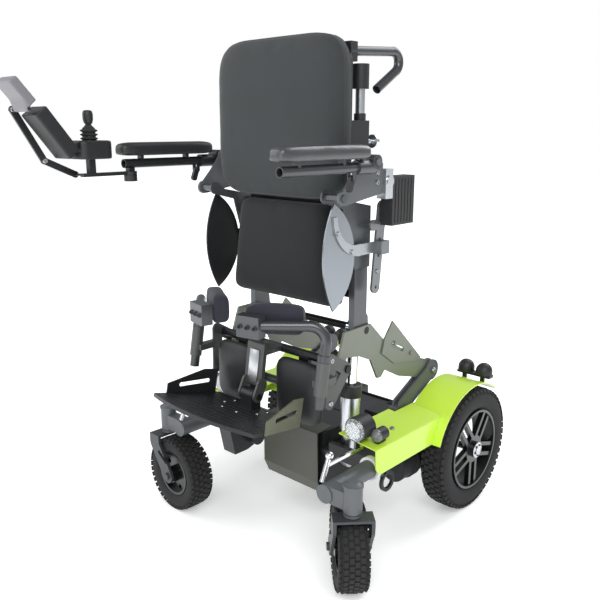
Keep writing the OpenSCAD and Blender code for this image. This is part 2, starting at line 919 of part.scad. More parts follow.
// Fenders
module fenders() color("#c6ea3a") placed() both() {
  difference() {
    union() {
      side((seat_block_out + over), fender_out) intersection() {
        translate([axle_y, axle_z]) difference() {
          circle(fender_r);
          circle(fender_r - sheet_t);
        }
        translate([axle_y, axle_z]) polygon(concat([[0, 0]],
          [for (i = [0 : 6]) let (a = fender_rear_deg + i * (fender_front_deg - fender_rear_deg) / 6)
            2 * fender_r * [cos(a), sin(a)]]));
      }
      translate([fender_in, 0, fender_in_z]) rotate([0, -fender_slope, 0])
        slab(0, (fender_side - fender_in) / cos(fender_slope), fender_front, fender_back, -sheet_t, 0);
      side(fender_side - sheet_t, fender_side) difference() {
        rounded(fender_front, fender_back, fender_low, fender_out_z + fender_corner, fender_corner);
        translate([fender_front - over, fender_out_z - sheet_t])
          square([fender_back - fender_front + 2 * over, 2 * fender_corner]);
      }
    }
    slab(fender_in - over, (seat_block_out + over), fender_notch_y, fender_back + over,
      fender_out_z - fender_corner, fender_in_z + fender_corner);
    pin(0, fender_out + over, [axle_y, axle_z], fender_r - sheet_t);
  }
}

// Headlight housings on the front edge of the fenders
module front_lamps() color("#1f2023") placed() both() {
  indicator();
  translate([lamp_x, lamp_y + lamp_d / 2, lamp_z]) rotate([90, 0, 0]) difference() {
    cylinder(h = lamp_d, r = lamp_r);
    translate([0, 0, lamp_d / 4]) cylinder(h = lamp_d, r = lamp_r - sheet_t);
  }
  slab(lamp_x - bolt_r, lamp_x + bolt_r, lamp_y, lamp_y + lamp_d / 4, fender_top(lamp_x - bolt_r),
    lamp_z - lamp_r + over);
}

// Faceted clear lenses
module headlight_lenses() color("#e6eef2") placed() both()
  translate([lamp_x, lamp_y - lamp_d / 2, lamp_z]) rotate([90, 0, 0])
    cylinder(h = mid_t, r1 = lamp_r, r2 = lamp_r - mid_t, $fn = 12);

// Indicators beside the headlights
module indicator() {
  translate([winker_x, winker_y, winker_z]) rotate([90, 0, 0]) {
    cylinder(h = (2 * lug_half), r = lug_half);
    translate([0, 0, (2 * lug_half)]) cylinder(h = mid_t, r1 = lug_half, r2 = lug_half / 2);
  }
  slab(winker_x - bolt_r, winker_x + bolt_r, winker_y - 2 * lug_half, winker_y, fender_top(winker_x - bolt_r),
    winker_z);
}

// Rear lamps, two domes a side
module tail_lamps() color("#17181a") placed() both() {
  lamp_bracket();
  for (x = [tail_in, tail_out]) translate([x, tail_y, tail_z]) {
    cylinder(h = pivot_r, r = tail_r);
    translate([0, 0, pivot_r]) intersection() {
      sphere(tail_r);
      cylinder(h = tail_r, r = tail_r);
    }
  }
}

// Brackets that carry the rear lamps above the arches
module lamp_bracket() {
  slab(tail_in - tail_r, tail_out + tail_r, tail_y - tail_r / 2, tail_y + tail_r / 2,
    tail_z - mid_t, tail_z);
  for (x = [tail_in, tail_out]) difference() {
    slab(x - bolt_r, x + bolt_r, tail_y - tail_r / 2, tail_y - tail_r / 2 + mid_t, axle_z, tail_z);
    pin(0, fender_out + over, [axle_y, axle_z], fender_r);
  }
}

// Caster arms: tube, web and stem housing
module caster_beams() color("#4b4f52") placed() both() {
  caster_arm();
  stem_cap();
  pipe([arm_tube_x, arm_rear_y - lug_half, arm_tube_z], [arm_tube_x, arm_rear_y, arm_tube_z],
    arm_tube_r + plate_t, arm_tube_r);
}
module caster_arm() difference() {
  union() {
    rod([arm_tube_x, arm_front_y, arm_tube_z], [arm_tube_x, arm_rear_y, arm_tube_z], arm_tube_r);
    slab(arm_tube_x, caster_x, caster_y - lug_half, caster_y + lug_half, arm_tube_z - tie_d,
      arm_tube_z + arm_tube_r);
    translate([caster_x, caster_y, housing_low]) cylinder(h = housing_top - housing_low, r = housing_r);
  }
  rod([arm_tube_x, caster_y + (2 * lug_half), arm_tube_z], [arm_tube_x, arm_rear_y + over, arm_tube_z],
    (arm_tube_r - plate_t));
  translate([caster_x, caster_y, housing_low - over])
    cylinder(h = housing_top - housing_low + 2 * over, r = stem_r + run_gap);
  translate([caster_x, caster_y, housing_low + plate_t]) difference() {
    cylinder(h = plate_t / 2, r = housing_r + over);
    translate([0, 0, -over]) cylinder(h = plate_t + 2 * over, r = housing_r - sheet_t);
  }
}

// Domed caps on the stem housings
module stem_cap() translate([caster_x, caster_y, housing_top]) {
  cylinder(h = plate_t, r = (housing_r + over));
  translate([0, 0, plate_t]) cylinder(h = plate_t, r1 = (housing_r + over) - sheet_t,
    r2 = (housing_r + over) / 2);
}

// Levelling struts between caster arm and fender
module levelling_struts() color("#c9ccce") placed() both() {
  rod([strut_x, strut_low_y, strut_low_z], [strut_x, strut_top_y, strut_top_z], bolt_r);
  translate([strut_x, strut_top_y, strut_top_z]) sphere(pivot_r);
  stay_z = fender_top(strut_x + sheet_t) - sheet_t - part_gap;
  slab(strut_x - sheet_t, strut_x + sheet_t, (strut_low_y + strut_top_y) / 2, fender_front + over,
    stay_z - mid_t, stay_z);
}

// Tie-down rings
module tie_down_rings() both() difference() {
  pin(ring_x, ring_x + mid_t, [ring_y, ring_z], ring_r);
  pin(ring_x - over, ring_x + mid_t + over, [ring_y, ring_z], ring_bore);
  slab(ring_x - over, ring_x + mid_t + over, ring_y - ring_r, ring_y + ring_r,
    ring_z + ring_r - pivot_r / 2, ring_z + 2 * ring_r);
}

// Drive tyres
module drive_tyre(s) translate([s * wheel_x, axle_y, axle_z]) tyre_ring(tyre_r, tyre_w, rim_r, tyre_round);
module left_tyre() color("#242424") placed() drive_tyre(1);
module right_tyre() color("#242424") placed() drive_tyre(-1);

// Drive rims with five pairs of spokes, hub, shaft and bolts
module drive_wheel() rotate([0, 90, 0]) {
  difference() {
    translate([0, 0, -rim_w / 2]) cylinder(h = rim_w, r = rim_r);
    translate([0, 0, -rim_w / 2 - over]) cylinder(h = rim_w + 2 * over, r = rim_r - rim_wall);
  }
  difference() {
    translate([0, 0, hub_low]) union() {
      cylinder(h = spoke_t, r = rim_plate_r);
      for (i = [0 : 4]) for (s = [-1, 1]) rotate(72 * i)
        translate([hub_r, s * spoke_space / 2 - spoke_w / 2, 0]) cube([rim_r - rim_wall / 2 - hub_r,
          spoke_w, spoke_t]);
    }
    translate([0, 0, -rim_w]) cylinder(h = 2 * rim_w, r = hub_r - over);
  }
  translate([0, 0, hub_low]) cylinder(h = rim_w / 2 + hub_out - hub_low, r = hub_r);
  translate([0, 0, gear_in + plate_t - wheel_x]) cylinder(h = wheel_x + hub_low + over - gear_in - plate_t,
    r = pivot_r);
  for (i = [0 : 4]) rotate(72 * i) translate([lug_ring_r, 0, rim_w / 2]) cylinder(h = hub_out + bolt_h,
    r = lug_r);
}
module left_wheel() color("#1b1c1e") placed() translate([wheel_x, axle_y, axle_z]) drive_wheel();
module right_wheel() color("#1b1c1e") placed() mirror([1, 0, 0]) translate([wheel_x, axle_y,
  axle_z]) drive_wheel();

// Caster pieces, stem on the origin, wheel towards +X
module heading(s) {
  translate([s * caster_x, caster_y, 0]) rotate(s > 0 ? caster_turn_left : caster_turn_right) children();
}
module fork() {
  difference() {
    for (s = [-1, 1]) translate([0, s * (fork_half + mid_t / 2), 0]) rotate([90, 0, 0])
      translate([0, 0, -mid_t / 2]) linear_extrude(mid_t) difference() {
        union() {
          link([-mid_t, crown_low - fork_leg_r], [trail, caster_r], fork_leg_r);
          translate([-(housing_r + mid_t), crown_low - fork_leg_r]) square([2 * housing_r,
            fork_leg_r + crown_t]);
        }
        link([(housing_r - mid_t), crown_low - 2 * fork_leg_r], [trail - bolt_r, caster_r + 2 * fork_leg_r],
          bolt_r);
      }
    translate([trail, 0, caster_r]) rotate([90, 0, 0])
      cylinder(h = 2 * caster_w, r = bolt_r, center = true);
  }
  translate([-(housing_r + mid_t), -fork_half, crown_low]) cube([2 * housing_r, 2 * fork_half, crown_t]);
  translate([0, 0, crown_low]) cylinder(h = housing_top - crown_low - part_gap, r = stem_r);
}
module caster_axle() translate([trail, 0, caster_r]) rotate([90, 0, 0]) {
  cylinder(h = 2 * (fork_half + mid_t), r = bolt_r, center = true);
  for (s = [-1, 1]) translate([0, 0, s * (fork_half + mid_t + plate_t / 2)])
    cylinder(h = plate_t, r = pivot_r, center = true);
}
module caster_tyre() translate([trail, 0, caster_r]) rotate(90)
  tyre_ring(caster_r, caster_w, caster_rim_r, caster_round);
module caster_rim() translate([trail, 0, caster_r]) rotate([90, 0, 0]) difference() {
  union() {
    difference() {
      cylinder(h = caster_rim_w, r = caster_rim_r, center = true);
      for (s = [-1, 1]) translate([0, 0, s * caster_rim_w / 2])
        cylinder(h = caster_rim_w / 2, r = caster_rim_r - rim_wall, center = true);
    }
    cylinder(h = caster_w, r = hub_r, center = true);
  }
  cylinder(h = caster_w + 2 * over, r = bolt_r + run_gap, center = true);
  for (i = [0 : 4]) rotate(72 * i) translate([(hub_r + caster_rim_r) / 2, 0, 0])
    cylinder(h = caster_w, r = rim_wall, center = true);
}
module fork_set() {
  fork();
  caster_axle();
}
module left_caster_fork() color("#46494c") placed() heading(1) fork_set();
module right_caster_fork() color("#46494c") placed() heading(-1) fork_set();
module left_caster_tyre() color("#232323") placed() heading(1) caster_tyre();
module right_caster_tyre() color("#232323") placed() heading(-1) caster_tyre();
module left_caster_rim() color("#1c1d1f") placed() heading(1) caster_rim();
module right_caster_rim() color("#1c1d1f") placed() heading(-1) caster_rim();

// Towers: two cheeks a side on a foot, with the pivot pin across the head
module lift_towers() color("#3c4043") placed() both() {
  for (x = [tower_in, tower_out - plate_t]) side(x, x + plate_t) {
    link([tower_foot_back - tower_arm_r - over, tower_foot_top - tower_arm_r - over], tower, tower_arm_r);
    translate(tower) circle(tower_head_r);
    translate([tower_foot_front, seat_block_top])
      square([tower_foot_back - tower_foot_front, tower_foot_top - seat_block_top - tower_arm_r]);
  }
  slab(tower_in, tower_out, tower_foot_front, tower_foot_back, seat_block_top, tower_foot_top - tower_arm_r);
  pin(tower_in - bolt_h, tower_out + bolt_h, tower, pivot_r);
}

// Lift arms
module lift_plates() color("#5d6257") placed() both() {
  lift_gusset();
  side(arm_x, arm_x + plate_t) lift_arm();
}
module lift_arm() difference() {
  union() {
    outline(arm_front, arm_low_z, arm_len, arm_high, arm_y_shares, arm_z_shares);
    translate(tower) circle((tower_head_r - sheet_t));
    translate(leg_pivot) circle(tie_d);
  }
  translate(tower) circle(pivot_r + run_gap);
  translate(leg_pivot) circle(pivot_r);
  translate(seat_pivot) circle(pivot_r);
}

// Gussets outside the lift arms with a slot and two bolts
module lift_gusset() {
  side((arm_x + plate_t), (arm_x + plate_t) + small_t) difference() {
    outline(gusset_front, gusset_low, gusset_len, gusset_high, gusset_y_shares, gusset_z_shares);
    link([gusset_front + gusset_len / 4, gusset_low + gusset_high / 2],
      [gusset_front + gusset_len / 2, gusset_low + gusset_high / 3], bolt_r);
  }
  for (i = [0, 1]) pin((arm_x + plate_t) + small_t, (arm_x + plate_t) + small_t + bolt_h,
    [gusset_front + bolt_y_shares[i] * gusset_len, gusset_low + bolt_z_shares[i] * gusset_high], bolt_r);
}

// Seat shaft across both lift arms, and the leg pins
module seat_shaft() color("#c4c7c9") placed() {
  pin(-arm_x - plate_t, arm_x + plate_t, seat_pivot, pivot_r);
  both() pin(arm_x, leg_in + plate_t + bolt_h, leg_pivot, pivot_r);
}

// Actuator pieces, drawn upright on the foot pin
module along_actuator() {
  translate([actuator_x, foot_y, foot_z]) rotate([-lean_deg, 0, 0]) children();
}
module actuator_body() color("#a9acae") placed() along_actuator() {
  actuator_barrel();
  actuator_collar();
}
module actuator_barrel() difference() {
  union() {
    translate([-tie_d / 2, 0, 0]) rotate([0, 90, 0]) cylinder(h = tie_d, r = tail_tube_r);
    cylinder(h = tail_tube_len, r = tail_tube_r - part_gap);
    translate([0, 0, tail_tube_len]) cylinder(h = barrel_len - tail_tube_len, r = barrel_r);
  }
  rotate([0, 90, 0]) cylinder(h = 2 * barrel_r, r = pin_r + run_gap, center = true);
  translate([0, 0, 2 * tail_tube_r + over]) cylinder(h = barrel_len, r = piston_r + run_gap);
}
module actuator_collar() translate([0, 0, barrel_len]) difference() {
  cylinder(h = eye_r, r = (barrel_r + over));
  translate([0, 0, -over]) cylinder(h = eye_r + 2 * over, r = piston_r + run_gap);
}
module actuator_rod() color("#d5d8da") placed() along_actuator() difference() {
  union() {
    translate([0, 0, stroke_low]) cylinder(h = stroke_len - stroke_low - pivot_r, r = piston_r);
    translate([-tie_d / 2, 0, stroke_len]) rotate([0, 90, 0]) cylinder(h = tie_d, r = eye_r);
  }
  translate([0, 0, stroke_len]) rotate([0, 90, 0])
    cylinder(h = 2 * barrel_r, r = pivot_r + eye_slack, center = true);
}

// Seat rails, pan, cross bars and the lugs on the seat shaft
module seat_chassis() color("#4d5154") placed() {
  both() seat_plate();
  both() {
    side(seat_rail_in, seat_rail_out) difference() {
      union() {
        translate([seat_rail_front, seat_rail_low])
          square([seat_rail_back - seat_rail_front, seat_rail_top - seat_rail_low]);
        translate(seat_pivot) circle(tie_d);
        link(seat_pivot, [seat_rail_back - tie_d / 2, seat_rail_low + tie_d], tie_d - sheet_t);
      }
      translate(seat_pivot) circle(pivot_r + run_gap);
    }
    pin(seat_rail_out, (seat_rail_out + over), [bar_y - plate_t, seat_plate_low + 2 * lug_half], bolt_r);
    pin(seat_rail_out, (seat_rail_out + over), [bar_y - plate_t, seat_rail_top - lug_half], bolt_r);
  }
  slab(2 * tie_d - cushion_half, cushion_half - 2 * tie_d, cushion_back + part_gap, seat_rail_front,
    cushion_low + tie_d, cushion_low + cushion_h + tie_d);
  for (z = [cushion_low + tie_d, cushion_low + cushion_h - 3 * tie_d])
    slab(-seat_rail_in, seat_rail_in, seat_rail_front, seat_rail_back, z, z + tie_d);
}

// Seat side plates
module seat_plate() {
  side((seat_rail_out + over), (seat_rail_out + over) + small_t) {
    translate(hip) circle(lug_half);
    polygon([[hip_y, hip_z - lug_half], [hip_y + 4 * lug_half, hip_z - 2 * lug_half], [strap_mid_y,
      seat_plate_low], [seat_rail_back, seat_plate_low],
      [seat_rail_back, seat_rail_top], [hip_y + 2 * lug_half, seat_plate_top], [hip_y, hip_z + lug_half],
      [hip_y - lug_half, hip_z]]);
  }
  pin((seat_rail_out + over) + small_t, horn_in + plate_t + bolt_h, hip, pin_r);
  pin((seat_rail_out + over) + small_t, (guard_in + mid_t), [bar_y, bar_z], bolt_r);
}

// Seat cushion
module seat_cushion() color("#3b3d44") placed() translate([0, cushion_back, cushion_low])
  cushion(cushion_half, cushion_h, cushion_t, cushion_taper, seat_square_share);

// Guard brackets with clamp blocks
module guard_brackets() color("#8f9396") placed() both() {
  low = [perf_low_y, perf_low_z];
  top = [perf_top_y, perf_top_z];
  side((guard_in + mid_t), (guard_in + mid_t) + plate_t) difference() {
    union() {
      link(low, top, lug_half);
      link([bar_y, bar_z], [perf_top_y, bar_z], lug_half - sheet_t);
    }
    for (i = [0 : 5]) translate(low + i / 5 * (top - low)) circle(small_t);
  }
  slab((guard_in + mid_t) + plate_t, (guard_in + mid_t) + plate_t + lug_half, strap_end_y - lug_half,
    strap_end_y + lug_half,
    strap_z - lug_half, strap_z + lug_half);
}

// Side guards with their straps
module guard() {
  side(guard_in, guard_in + small_t) intersection() {
    translate([guard_front + leaf_front_r, guard_z]) circle(leaf_front_r);
    translate([guard_back - leaf_back_r, guard_z]) circle(leaf_back_r);
  }
  side(guard_in + small_t, (guard_in + mid_t)) {
    intersection() {
      translate([strap_mid_y, strap_top_z]) difference() {
        circle(strap_r + strap_half + swell);
        translate([-strap_half, 0]) circle(strap_r - strap_half);
      }
      translate([strap_mid_y - 2 * strap_r, strap_z - 2 * strap_half])
        square([2 * strap_r, strap_r + 2 * strap_half]);
    }
    link([strap_mid_y, strap_z], [strap_end_y, strap_z], strap_half);
  }
  for (a = [205, 250]) pin((guard_in + mid_t), (guard_in + mid_t) + bolt_h,
    [strap_mid_y, strap_top_z] + (strap_r + strap_half / 2) * [cos(a), sin(a)], bolt_r);
}
module left_guard() color("#6d6f72") placed() guard();
module right_guard() color("#1c1d1f") placed() mirror([1, 0, 0]) guard();

// Back shell with its post blocks
module back_panel() color("#1e1f22") placed() {
  both() grip_roll();
  translate([0, back_back + part_gap, 0]) rotate([90, 0, 0]) mirror([0, 0, 1]) linear_extrude(plate_t)
    rounded(-(back_half - tie_d), (back_half - tie_d), (back_low + tie_d), (back_low + back_h - tie_d),
      shell_round);
  both() difference() {
    union() {
      slab(post_x - lug_half, post_x + lug_half, back_back + plate_t, post_y + lug_half,
        post_block_low, post_block_top);
      translate([post_x, post_y, post_block_top]) cylinder(h = lug_half, r = tube_r + sheet_t);
      slab(post_x - tube_r, post_x + tube_r, back_back + plate_t, handle_front_y + 2 * tube_r,
        handle_front_z - 2 * tube_r, (back_low + back_h - tie_d) - plate_t);
    }
    translate([post_x, post_y, post_low]) cylinder(h = roll_top - post_low, r = tube_r);
    rod([post_x, handle_front_y, handle_front_z], [post_x, handle_tip_y, handle_tip_z], tube_r);
  }
}

// Back cushion
module back_cushion() color("#3b3d44") placed() translate([0, back_back, back_low])
  cushion(back_half, back_h, back_t, back_taper);

// Back posts on the cross bar, with the clamp knobs
module back_tubes() color("#b4b7ba") placed() {
  both() {
    horn_block();
    translate([post_x, post_y, post_low]) cylinder(h = post_top - post_low, r = tube_r);
    slab(post_x - tube_r, post_x + tube_r, post_y, cross_y, cross_z - pivot_r, cross_z + pivot_r);
    translate([post_x, knob_y, knob_z]) rotate([90, 0, 0]) cylinder(h = pivot_r, r = lug_half);
    translate([post_x, knob_y, knob_z]) rotate([90, 0, 0]) cylinder(h = knob_y - post_y - lug_half,
      r = bolt_r);
  }
  pin(-(horn_in - pivot_r), (horn_in - pivot_r), [cross_y, cross_z], pivot_r);
}

// Grip rolls on the heads of the posts
module grip_roll() difference() {
  translate([post_x, post_y, (post_top - sheet_t)]) cylinder(h = roll_top - (post_top - sheet_t), r = tie_d);
  translate([post_x, post_y, (post_top - sheet_t) - over]) cylinder(h = sheet_t + over, r = tube_r);
}

// Push handles, bent bars with a socket in the open end
module push_handles() color("#2a2c2f") placed() both() {
  p0 = [handle_front_y, handle_front_z];
  p1 = [handle_tip_y, handle_tip_z];
  p2 = [handle_end_y, handle_end_z];
  u = (p1 - p2) / norm(p1 - p2);
  translate([post_x, 0, 0]) rotate([90, 0, 90]) difference() {
    bent(p0, p1, p2, handle_bend, tube_r);
    rod(concat(p2 - over * u, 0), concat(p2 + socket_len * u, 0), tube_bore);
  }
}

// Horn brackets from the hip pins to the horn blocks, with the armrest pins
module horn_brackets() color("#303336") placed() both() {
  side(horn_in, horn_in + plate_t) difference() {
    union() {
      translate(hip) circle(lug_half);
      translate(rest_pivot) circle(lug_half);
      polygon([[hip_y - lug_half, hip_z], [hip_y + lug_half / 2, hip_z - lug_half], [horn_block_front,
        hip_z + sheet_t],
        [horn_block_front, rest_z - plate_t], [rest_y + lug_half, rest_z], [rest_y - lug_half, rest_z],
        [hip_y + 2 * lug_half, hip_z + 3 * lug_half]]);
    }
    translate(hip) circle(pin_r + run_gap);
  }
  pin(horn_in + plate_t, rest_x + lug_half + bolt_h, rest_pivot, pin_r);
}

// Horn blocks on the ends of the cross bar, with round caps
module horn_block() {
  slab((horn_in - pivot_r), (horn_in + lug_half), horn_block_front, horn_block_back, horn_block_low,
    horn_block_top);
  pin((horn_in + lug_half), (horn_in + lug_half) + bolt_h, [cross_y, cross_z], lug_half - sheet_t);
}

// Control module behind the horn block on the user's left
module control_module() color("#1b1c1f") placed() difference() {
  slab(seat_block_out + 2 * plate_t, horn_in + lug_half, horn_block_back, 0, module_low, module_top);
  for (i = [1 : 6]) slab((horn_in + lug_half) - sheet_t, (horn_in + lug_half) + over,
    horn_block_back + i * (0 - horn_block_back) / 7 - sheet_t,
    horn_block_back + i * (0 - horn_block_back) / 7, module_low + plate_t, module_top - plate_t);
}

// Arm pads
module arm_pad() translate([rest_x, pad_front, pad_low]) rotate([-90, 0, 0])
  cushion(pad_half, pad_back - pad_front, pad_t, 0);
module left_arm_pad() color("#55575a") placed() arm_pad();
module right_arm_pad() color("#1d1e20") placed() mirror([1, 0, 0]) arm_pad();

// Armrest tubes with their sleeves, pad stands and lever clevises
module arm_tube(boss) {
  cam = [lever_y, rest_tube_z - lug_half - mid_t];
  difference() {
    union() {
      rod([rest_x, rest_tube_front, rest_tube_z], [rest_x, sleeve_front, rest_tube_z], tube_r);
      rod([rest_x, sleeve_front, rest_tube_z], [rest_x, rest_y, rest_tube_z], lug_half);
      pin(rest_x - lug_half, rest_x + lug_half, rest_pivot, lug_half);
      for (y = [stand_front, stand_back])
        slab(rest_x - mid_t, rest_x + mid_t, y, y + mid_t, rest_tube_z, pad_low);
      for (s = [-1, 1]) side(rest_x + s * mid_t - sheet_t / 2, rest_x + s * mid_t + sheet_t / 2)
        link(cam, [lever_y, rest_tube_z - lug_half / 2], mid_t - sheet_t);
      pin(rest_x - mid_t, rest_x + mid_t, cam, lug_r);
      if (boss) swing_pin();
    }
    rod([rest_x, rest_tube_front - over, rest_tube_z], [rest_x, sleeve_front, rest_tube_z], tube_bore);
    pin(rest_x - lug_half - over, rest_x + lug_half + over, rest_pivot, pin_r + run_gap);
  }
}
module left_armrest() color("#4a4d50") placed() arm_tube(false);
module right_armrest() color("#4a4d50") placed() translate([-2 * rest_x, 0, 0]) arm_tube(true);

// Cam levers under the sleeves
module cam_lever() {
  difference() {
    side(rest_x - mid_t / 2, rest_x + mid_t / 2)
      link([lever_y, rest_tube_z - lug_half - mid_t], [lever_y - mid_t, rest_tube_z - lever_len], mid_t);
    pin(rest_x - mid_t, rest_x + mid_t, [lever_y, rest_tube_z - lug_half - mid_t], lug_r + run_gap);
  }
}
module left_lever() color("#202225") placed() cam_lever();
module right_lever() color("#202225") placed() mirror([1, 0, 0]) cam_lever();

// Joystick carrier bar, hung on the swing pin under the armrest tube
module joystick_arm() color("#3a3d40") placed() mirror([1, 0, 0]) {
  joystick_carrier();
  link_bar();
}
module joystick_carrier() difference() {
  union() {
    slab(rest_x - mid_t, rest_x + mid_t, carrier_front, swing_y, carrier_z - mid_t, carrier_z);
    translate([rest_x, swing_y, carrier_z - mid_t]) cylinder(h = mid_t, r = 2 * pin_r);
    slab(rest_x - mid_t, rest_x + mid_t, stick_y - mid_t, stick_y + mid_t,
      carrier_z, pod_low);
  }
  translate([rest_x, swing_y, swing_pin_low]) cylinder(h = rest_z - swing_pin_low,
    r = pin_r - part_gap + run_gap);
}

// Swing pin on a block under the armrest tube, with a head below the carrier
module swing_pin() {
  slab(rest_x - pin_r, rest_x + pin_r, swing_y - pin_r, swing_y + pin_r, carrier_z + part_gap,
    rest_tube_z - (tube_r + tube_bore) / 2);
  translate([rest_x, swing_y, swing_pin_low]) {
    cylinder(h = carrier_z + part_gap - swing_pin_low, r = pin_r - part_gap);
    cylinder(h = carrier_z - mid_t - part_gap - swing_pin_low, r = 2 * pin_r);
  }
}

// Joystick pod with a round well and the bores for the gimbal pins
module joystick_unit() color("#17181a") placed() {
  mirror([1, 0, 0]) joystick_pod();
  on_panel() control_panel();
  mirror([1, 0, 0]) panel_neck();
}
module joystick_pod() difference() {
  translate([rest_x, 0, pod_low]) linear_extrude(pod_h)
    rounded(-pod_half, pod_half, stick_y - pod_len / 2, stick_y + pod_len / 2, lug_half);
  translate([rest_x, stick_y, pod_low + plate_t]) cylinder(h = pod_h, r = pod_bore);
  pin(rest_x - pod_half + sheet_t, rest_x + pod_half - sheet_t, [stick_y, stick_foot_z], over + run_gap);
}

// Gimbal ring, tipping fore and aft in the pod
module joystick_gimbal() color("#8a8d90") placed() mirror([1, 0, 0]) difference() {
  union() {
    translate([rest_x, stick_y, stick_foot_z - plate_t / 2]) cylinder(h = plate_t, r = gimbal_r);
    pin(rest_x - pod_half + 2 * sheet_t, rest_x + pod_half - 2 * sheet_t, [stick_y, stick_foot_z], over);
  }
  translate([rest_x, stick_y, stick_foot_z - plate_t]) cylinder(h = 2 * plate_t, r = gimbal_bore);
  translate([rest_x, stick_y, stick_foot_z]) rotate([90, 0, 0])
    cylinder(h = 4 * gimbal_r, r = over + run_gap, center = true);
}

// Stick with its ball, cross pin and knob
module joystick_lever() color("#141516") placed() mirror([1, 0, 0]) translate([rest_x, stick_y, 0]) {
  joystick_boot();
  translate([0, 0, stick_foot_z]) sphere(mid_t);
  translate([0, 0, stick_foot_z]) rotate([90, 0, 0]) cylinder(h = 2 * gimbal_r, r = over, center = true);
  translate([0, 0, stick_foot_z]) cylinder(h = stick_top - stick_foot_z - tube_r, r = small_t);
  translate([0, 0, stick_top - tube_r]) sphere(tube_r);
}

// Ribbed boot round the stick, rising out of the well
module joystick_boot()
  translate([0, 0, pod_low + pod_h - sheet_t]) rotate_extrude() polygon(concat(
    [for (i = [0 : 6]) [boot_r + (mid_t - boot_r) * i / 6 - (i % 2) * sheet_t / 2, boot_h * i / 6]],
    [[small_t, boot_h], [small_t, boot_h - sheet_t], [mid_t - sheet_t / 2, boot_h - 2 * sheet_t],
      [boot_r - sheet_t, 0]]));

// Control panel on the front of the pod, with wells for the buttons
module on_panel() {
  mirror([1, 0, 0]) translate([rest_x, panel_low_y, panel_low_z]) rotate([panel_deg - 180, 0, 0]) children();
}
module control_panel() difference() {
  slab(-panel_half, panel_half, -panel_len, 0, -panel_t, panel_t);
  translate([0, -panel_len * silver_share, panel_t - sheet_t])
    cylinder(h = sheet_t + over, r = bolt_r + part_gap);
  translate([0, -panel_len * yellow_share, panel_t - sheet_t])
    cylinder(h = sheet_t + over, r = pin_r + part_gap);
}
module panel_neck() slab(rest_x - bolt_r, rest_x + bolt_r, stick_y - pod_len / 2 - neck_len,
  stick_y - pod_len / 2 + over,
    pod_low + plate_t, pod_low + 2 * plate_t);
module panel_button(share, r) {
  translate([0, -panel_len * share, panel_t - sheet_t / 2]) cylinder(h = small_t, r = r);
}
module yellow_button() color("#e3c52c") placed() on_panel() panel_button(yellow_share, pin_r);
module silver_button() color("#b7babd") placed() on_panel() panel_button(silver_share, bolt_r);

// Link bars from the carrier to the display head
module link_bar() {
  side((rest_x + pod_half + plate_t), (rest_x + pod_half + plate_t) + plate_t) {
    link([carrier_front + mid_t, carrier_z - mid_t / 2], [link_y, link_z], mid_t);
    link([link_y, link_z], [link_top_y, link_top_z], mid_t);
  }
  pin(rest_x, (rest_x + pod_half + plate_t), [carrier_front + mid_t, carrier_z - mid_t / 2], sheet_t);
  pin((rest_x + pod_half + plate_t) + plate_t, (rest_x + pod_half + plate_t) + plate_t + bolt_h, [link_y,
    link_z], bolt_r);
  pin(rest_x - panel_half, (rest_x + pod_half + plate_t), [link_top_y, link_top_z], sheet_t);
}

// Display head on the upper end of the link bar
module display_head() color("#5b5e61") placed() mirror([1, 0, 0]) difference() {
  union() {
    translate([rest_x, head_y, head_z]) rotate([head_tilt, 0, 0])
      slab(-panel_half, panel_half, -head_h / 4, head_h / 4, -head_len / 2, head_len / 2);
    side(rest_x - panel_half + over, rest_x + panel_half - over) link([link_top_y, link_top_z], [head_y,
      head_z], 2 * sheet_t);
  }
  pin(rest_x - panel_half - over, rest_x + panel_half + over, [link_top_y, link_top_z], sheet_t + run_gap);
}

// Leg frame
module leg_rest() color("#35383b") placed() {
  leg_strap();
  both() calf_stand();
  pin(-column_half - bolt_h, column_half + bolt_h, [step_y, step_z], pin_r);
  both() {
    side(leg_in, leg_in + plate_t) difference() {
      union() {
        link([leg_top_y, leg_top_z], [leg_low_y, leg_low_z], lug_half);
        link(leg_pivot, [leg_top_y, leg_top_z], lug_half);
        link(leg_pivot, [leg_low_y, leg_low_z], lug_half);
      }
      translate(leg_pivot) circle(pivot_r + run_gap);
    }
    difference() {
      union() {
        rod(on_knee(sleeve_low), on_knee(sleeve_top), lug_half);
        slab(leg_in, knee_x, on_knee(sleeve_low)[1], leg_low_y, sleeve_low + lug_half,
          sleeve_low + 2 * lug_half);
      }
      rod(on_knee(knee_low_z), on_knee(sleeve_top + lug_half), knee_r + run_gap);
    }
  }
  pin(-leg_in, leg_in, [leg_tube_y, leg_tube_top], tube_r);
  pin(-leg_in, leg_in, [leg_tube_y, leg_tube_low], tube_r);
  side(-column_half, column_half) {
    link([column_top_y, column_top_z], [column_low_y, column_low_z], plate_t);
    link([column_top_y, leg_tube_top], [leg_tube_y, leg_tube_top], plate_t);
  }
  both() side(column_half - plate_t, column_half)
    link([column_low_y, column_low_z], [step_y, step_z], 2 * pin_r);
}

// Column strap
module leg_strap() {
  v = [column_low_y - column_top_y, column_low_z - column_top_z];
  u = v / norm(v);
  n = [u[1], -u[0]];
  a = [column_top_y, column_top_z] + (plate_t + small_t / 2 - over) * n;
  side(-lug_half, lug_half) link(a + lug_half * u, a + 6 * lug_half * u, small_t / 2);
}

// Calf pads
module calf_pads() color("#1f2023") placed() both() translate([(calf_half + column_half + plate_t),
  calf_back, calf_low])
  cushion(calf_half, calf_h, calf_t, 0);

// Calf pad stands
module calf_stand()
  slab((calf_half + column_half + plate_t) - lug_half, (calf_half + column_half + plate_t) + lug_half,
    calf_back + part_gap, leg_tube_y,
    leg_tube_low, leg_tube_top);

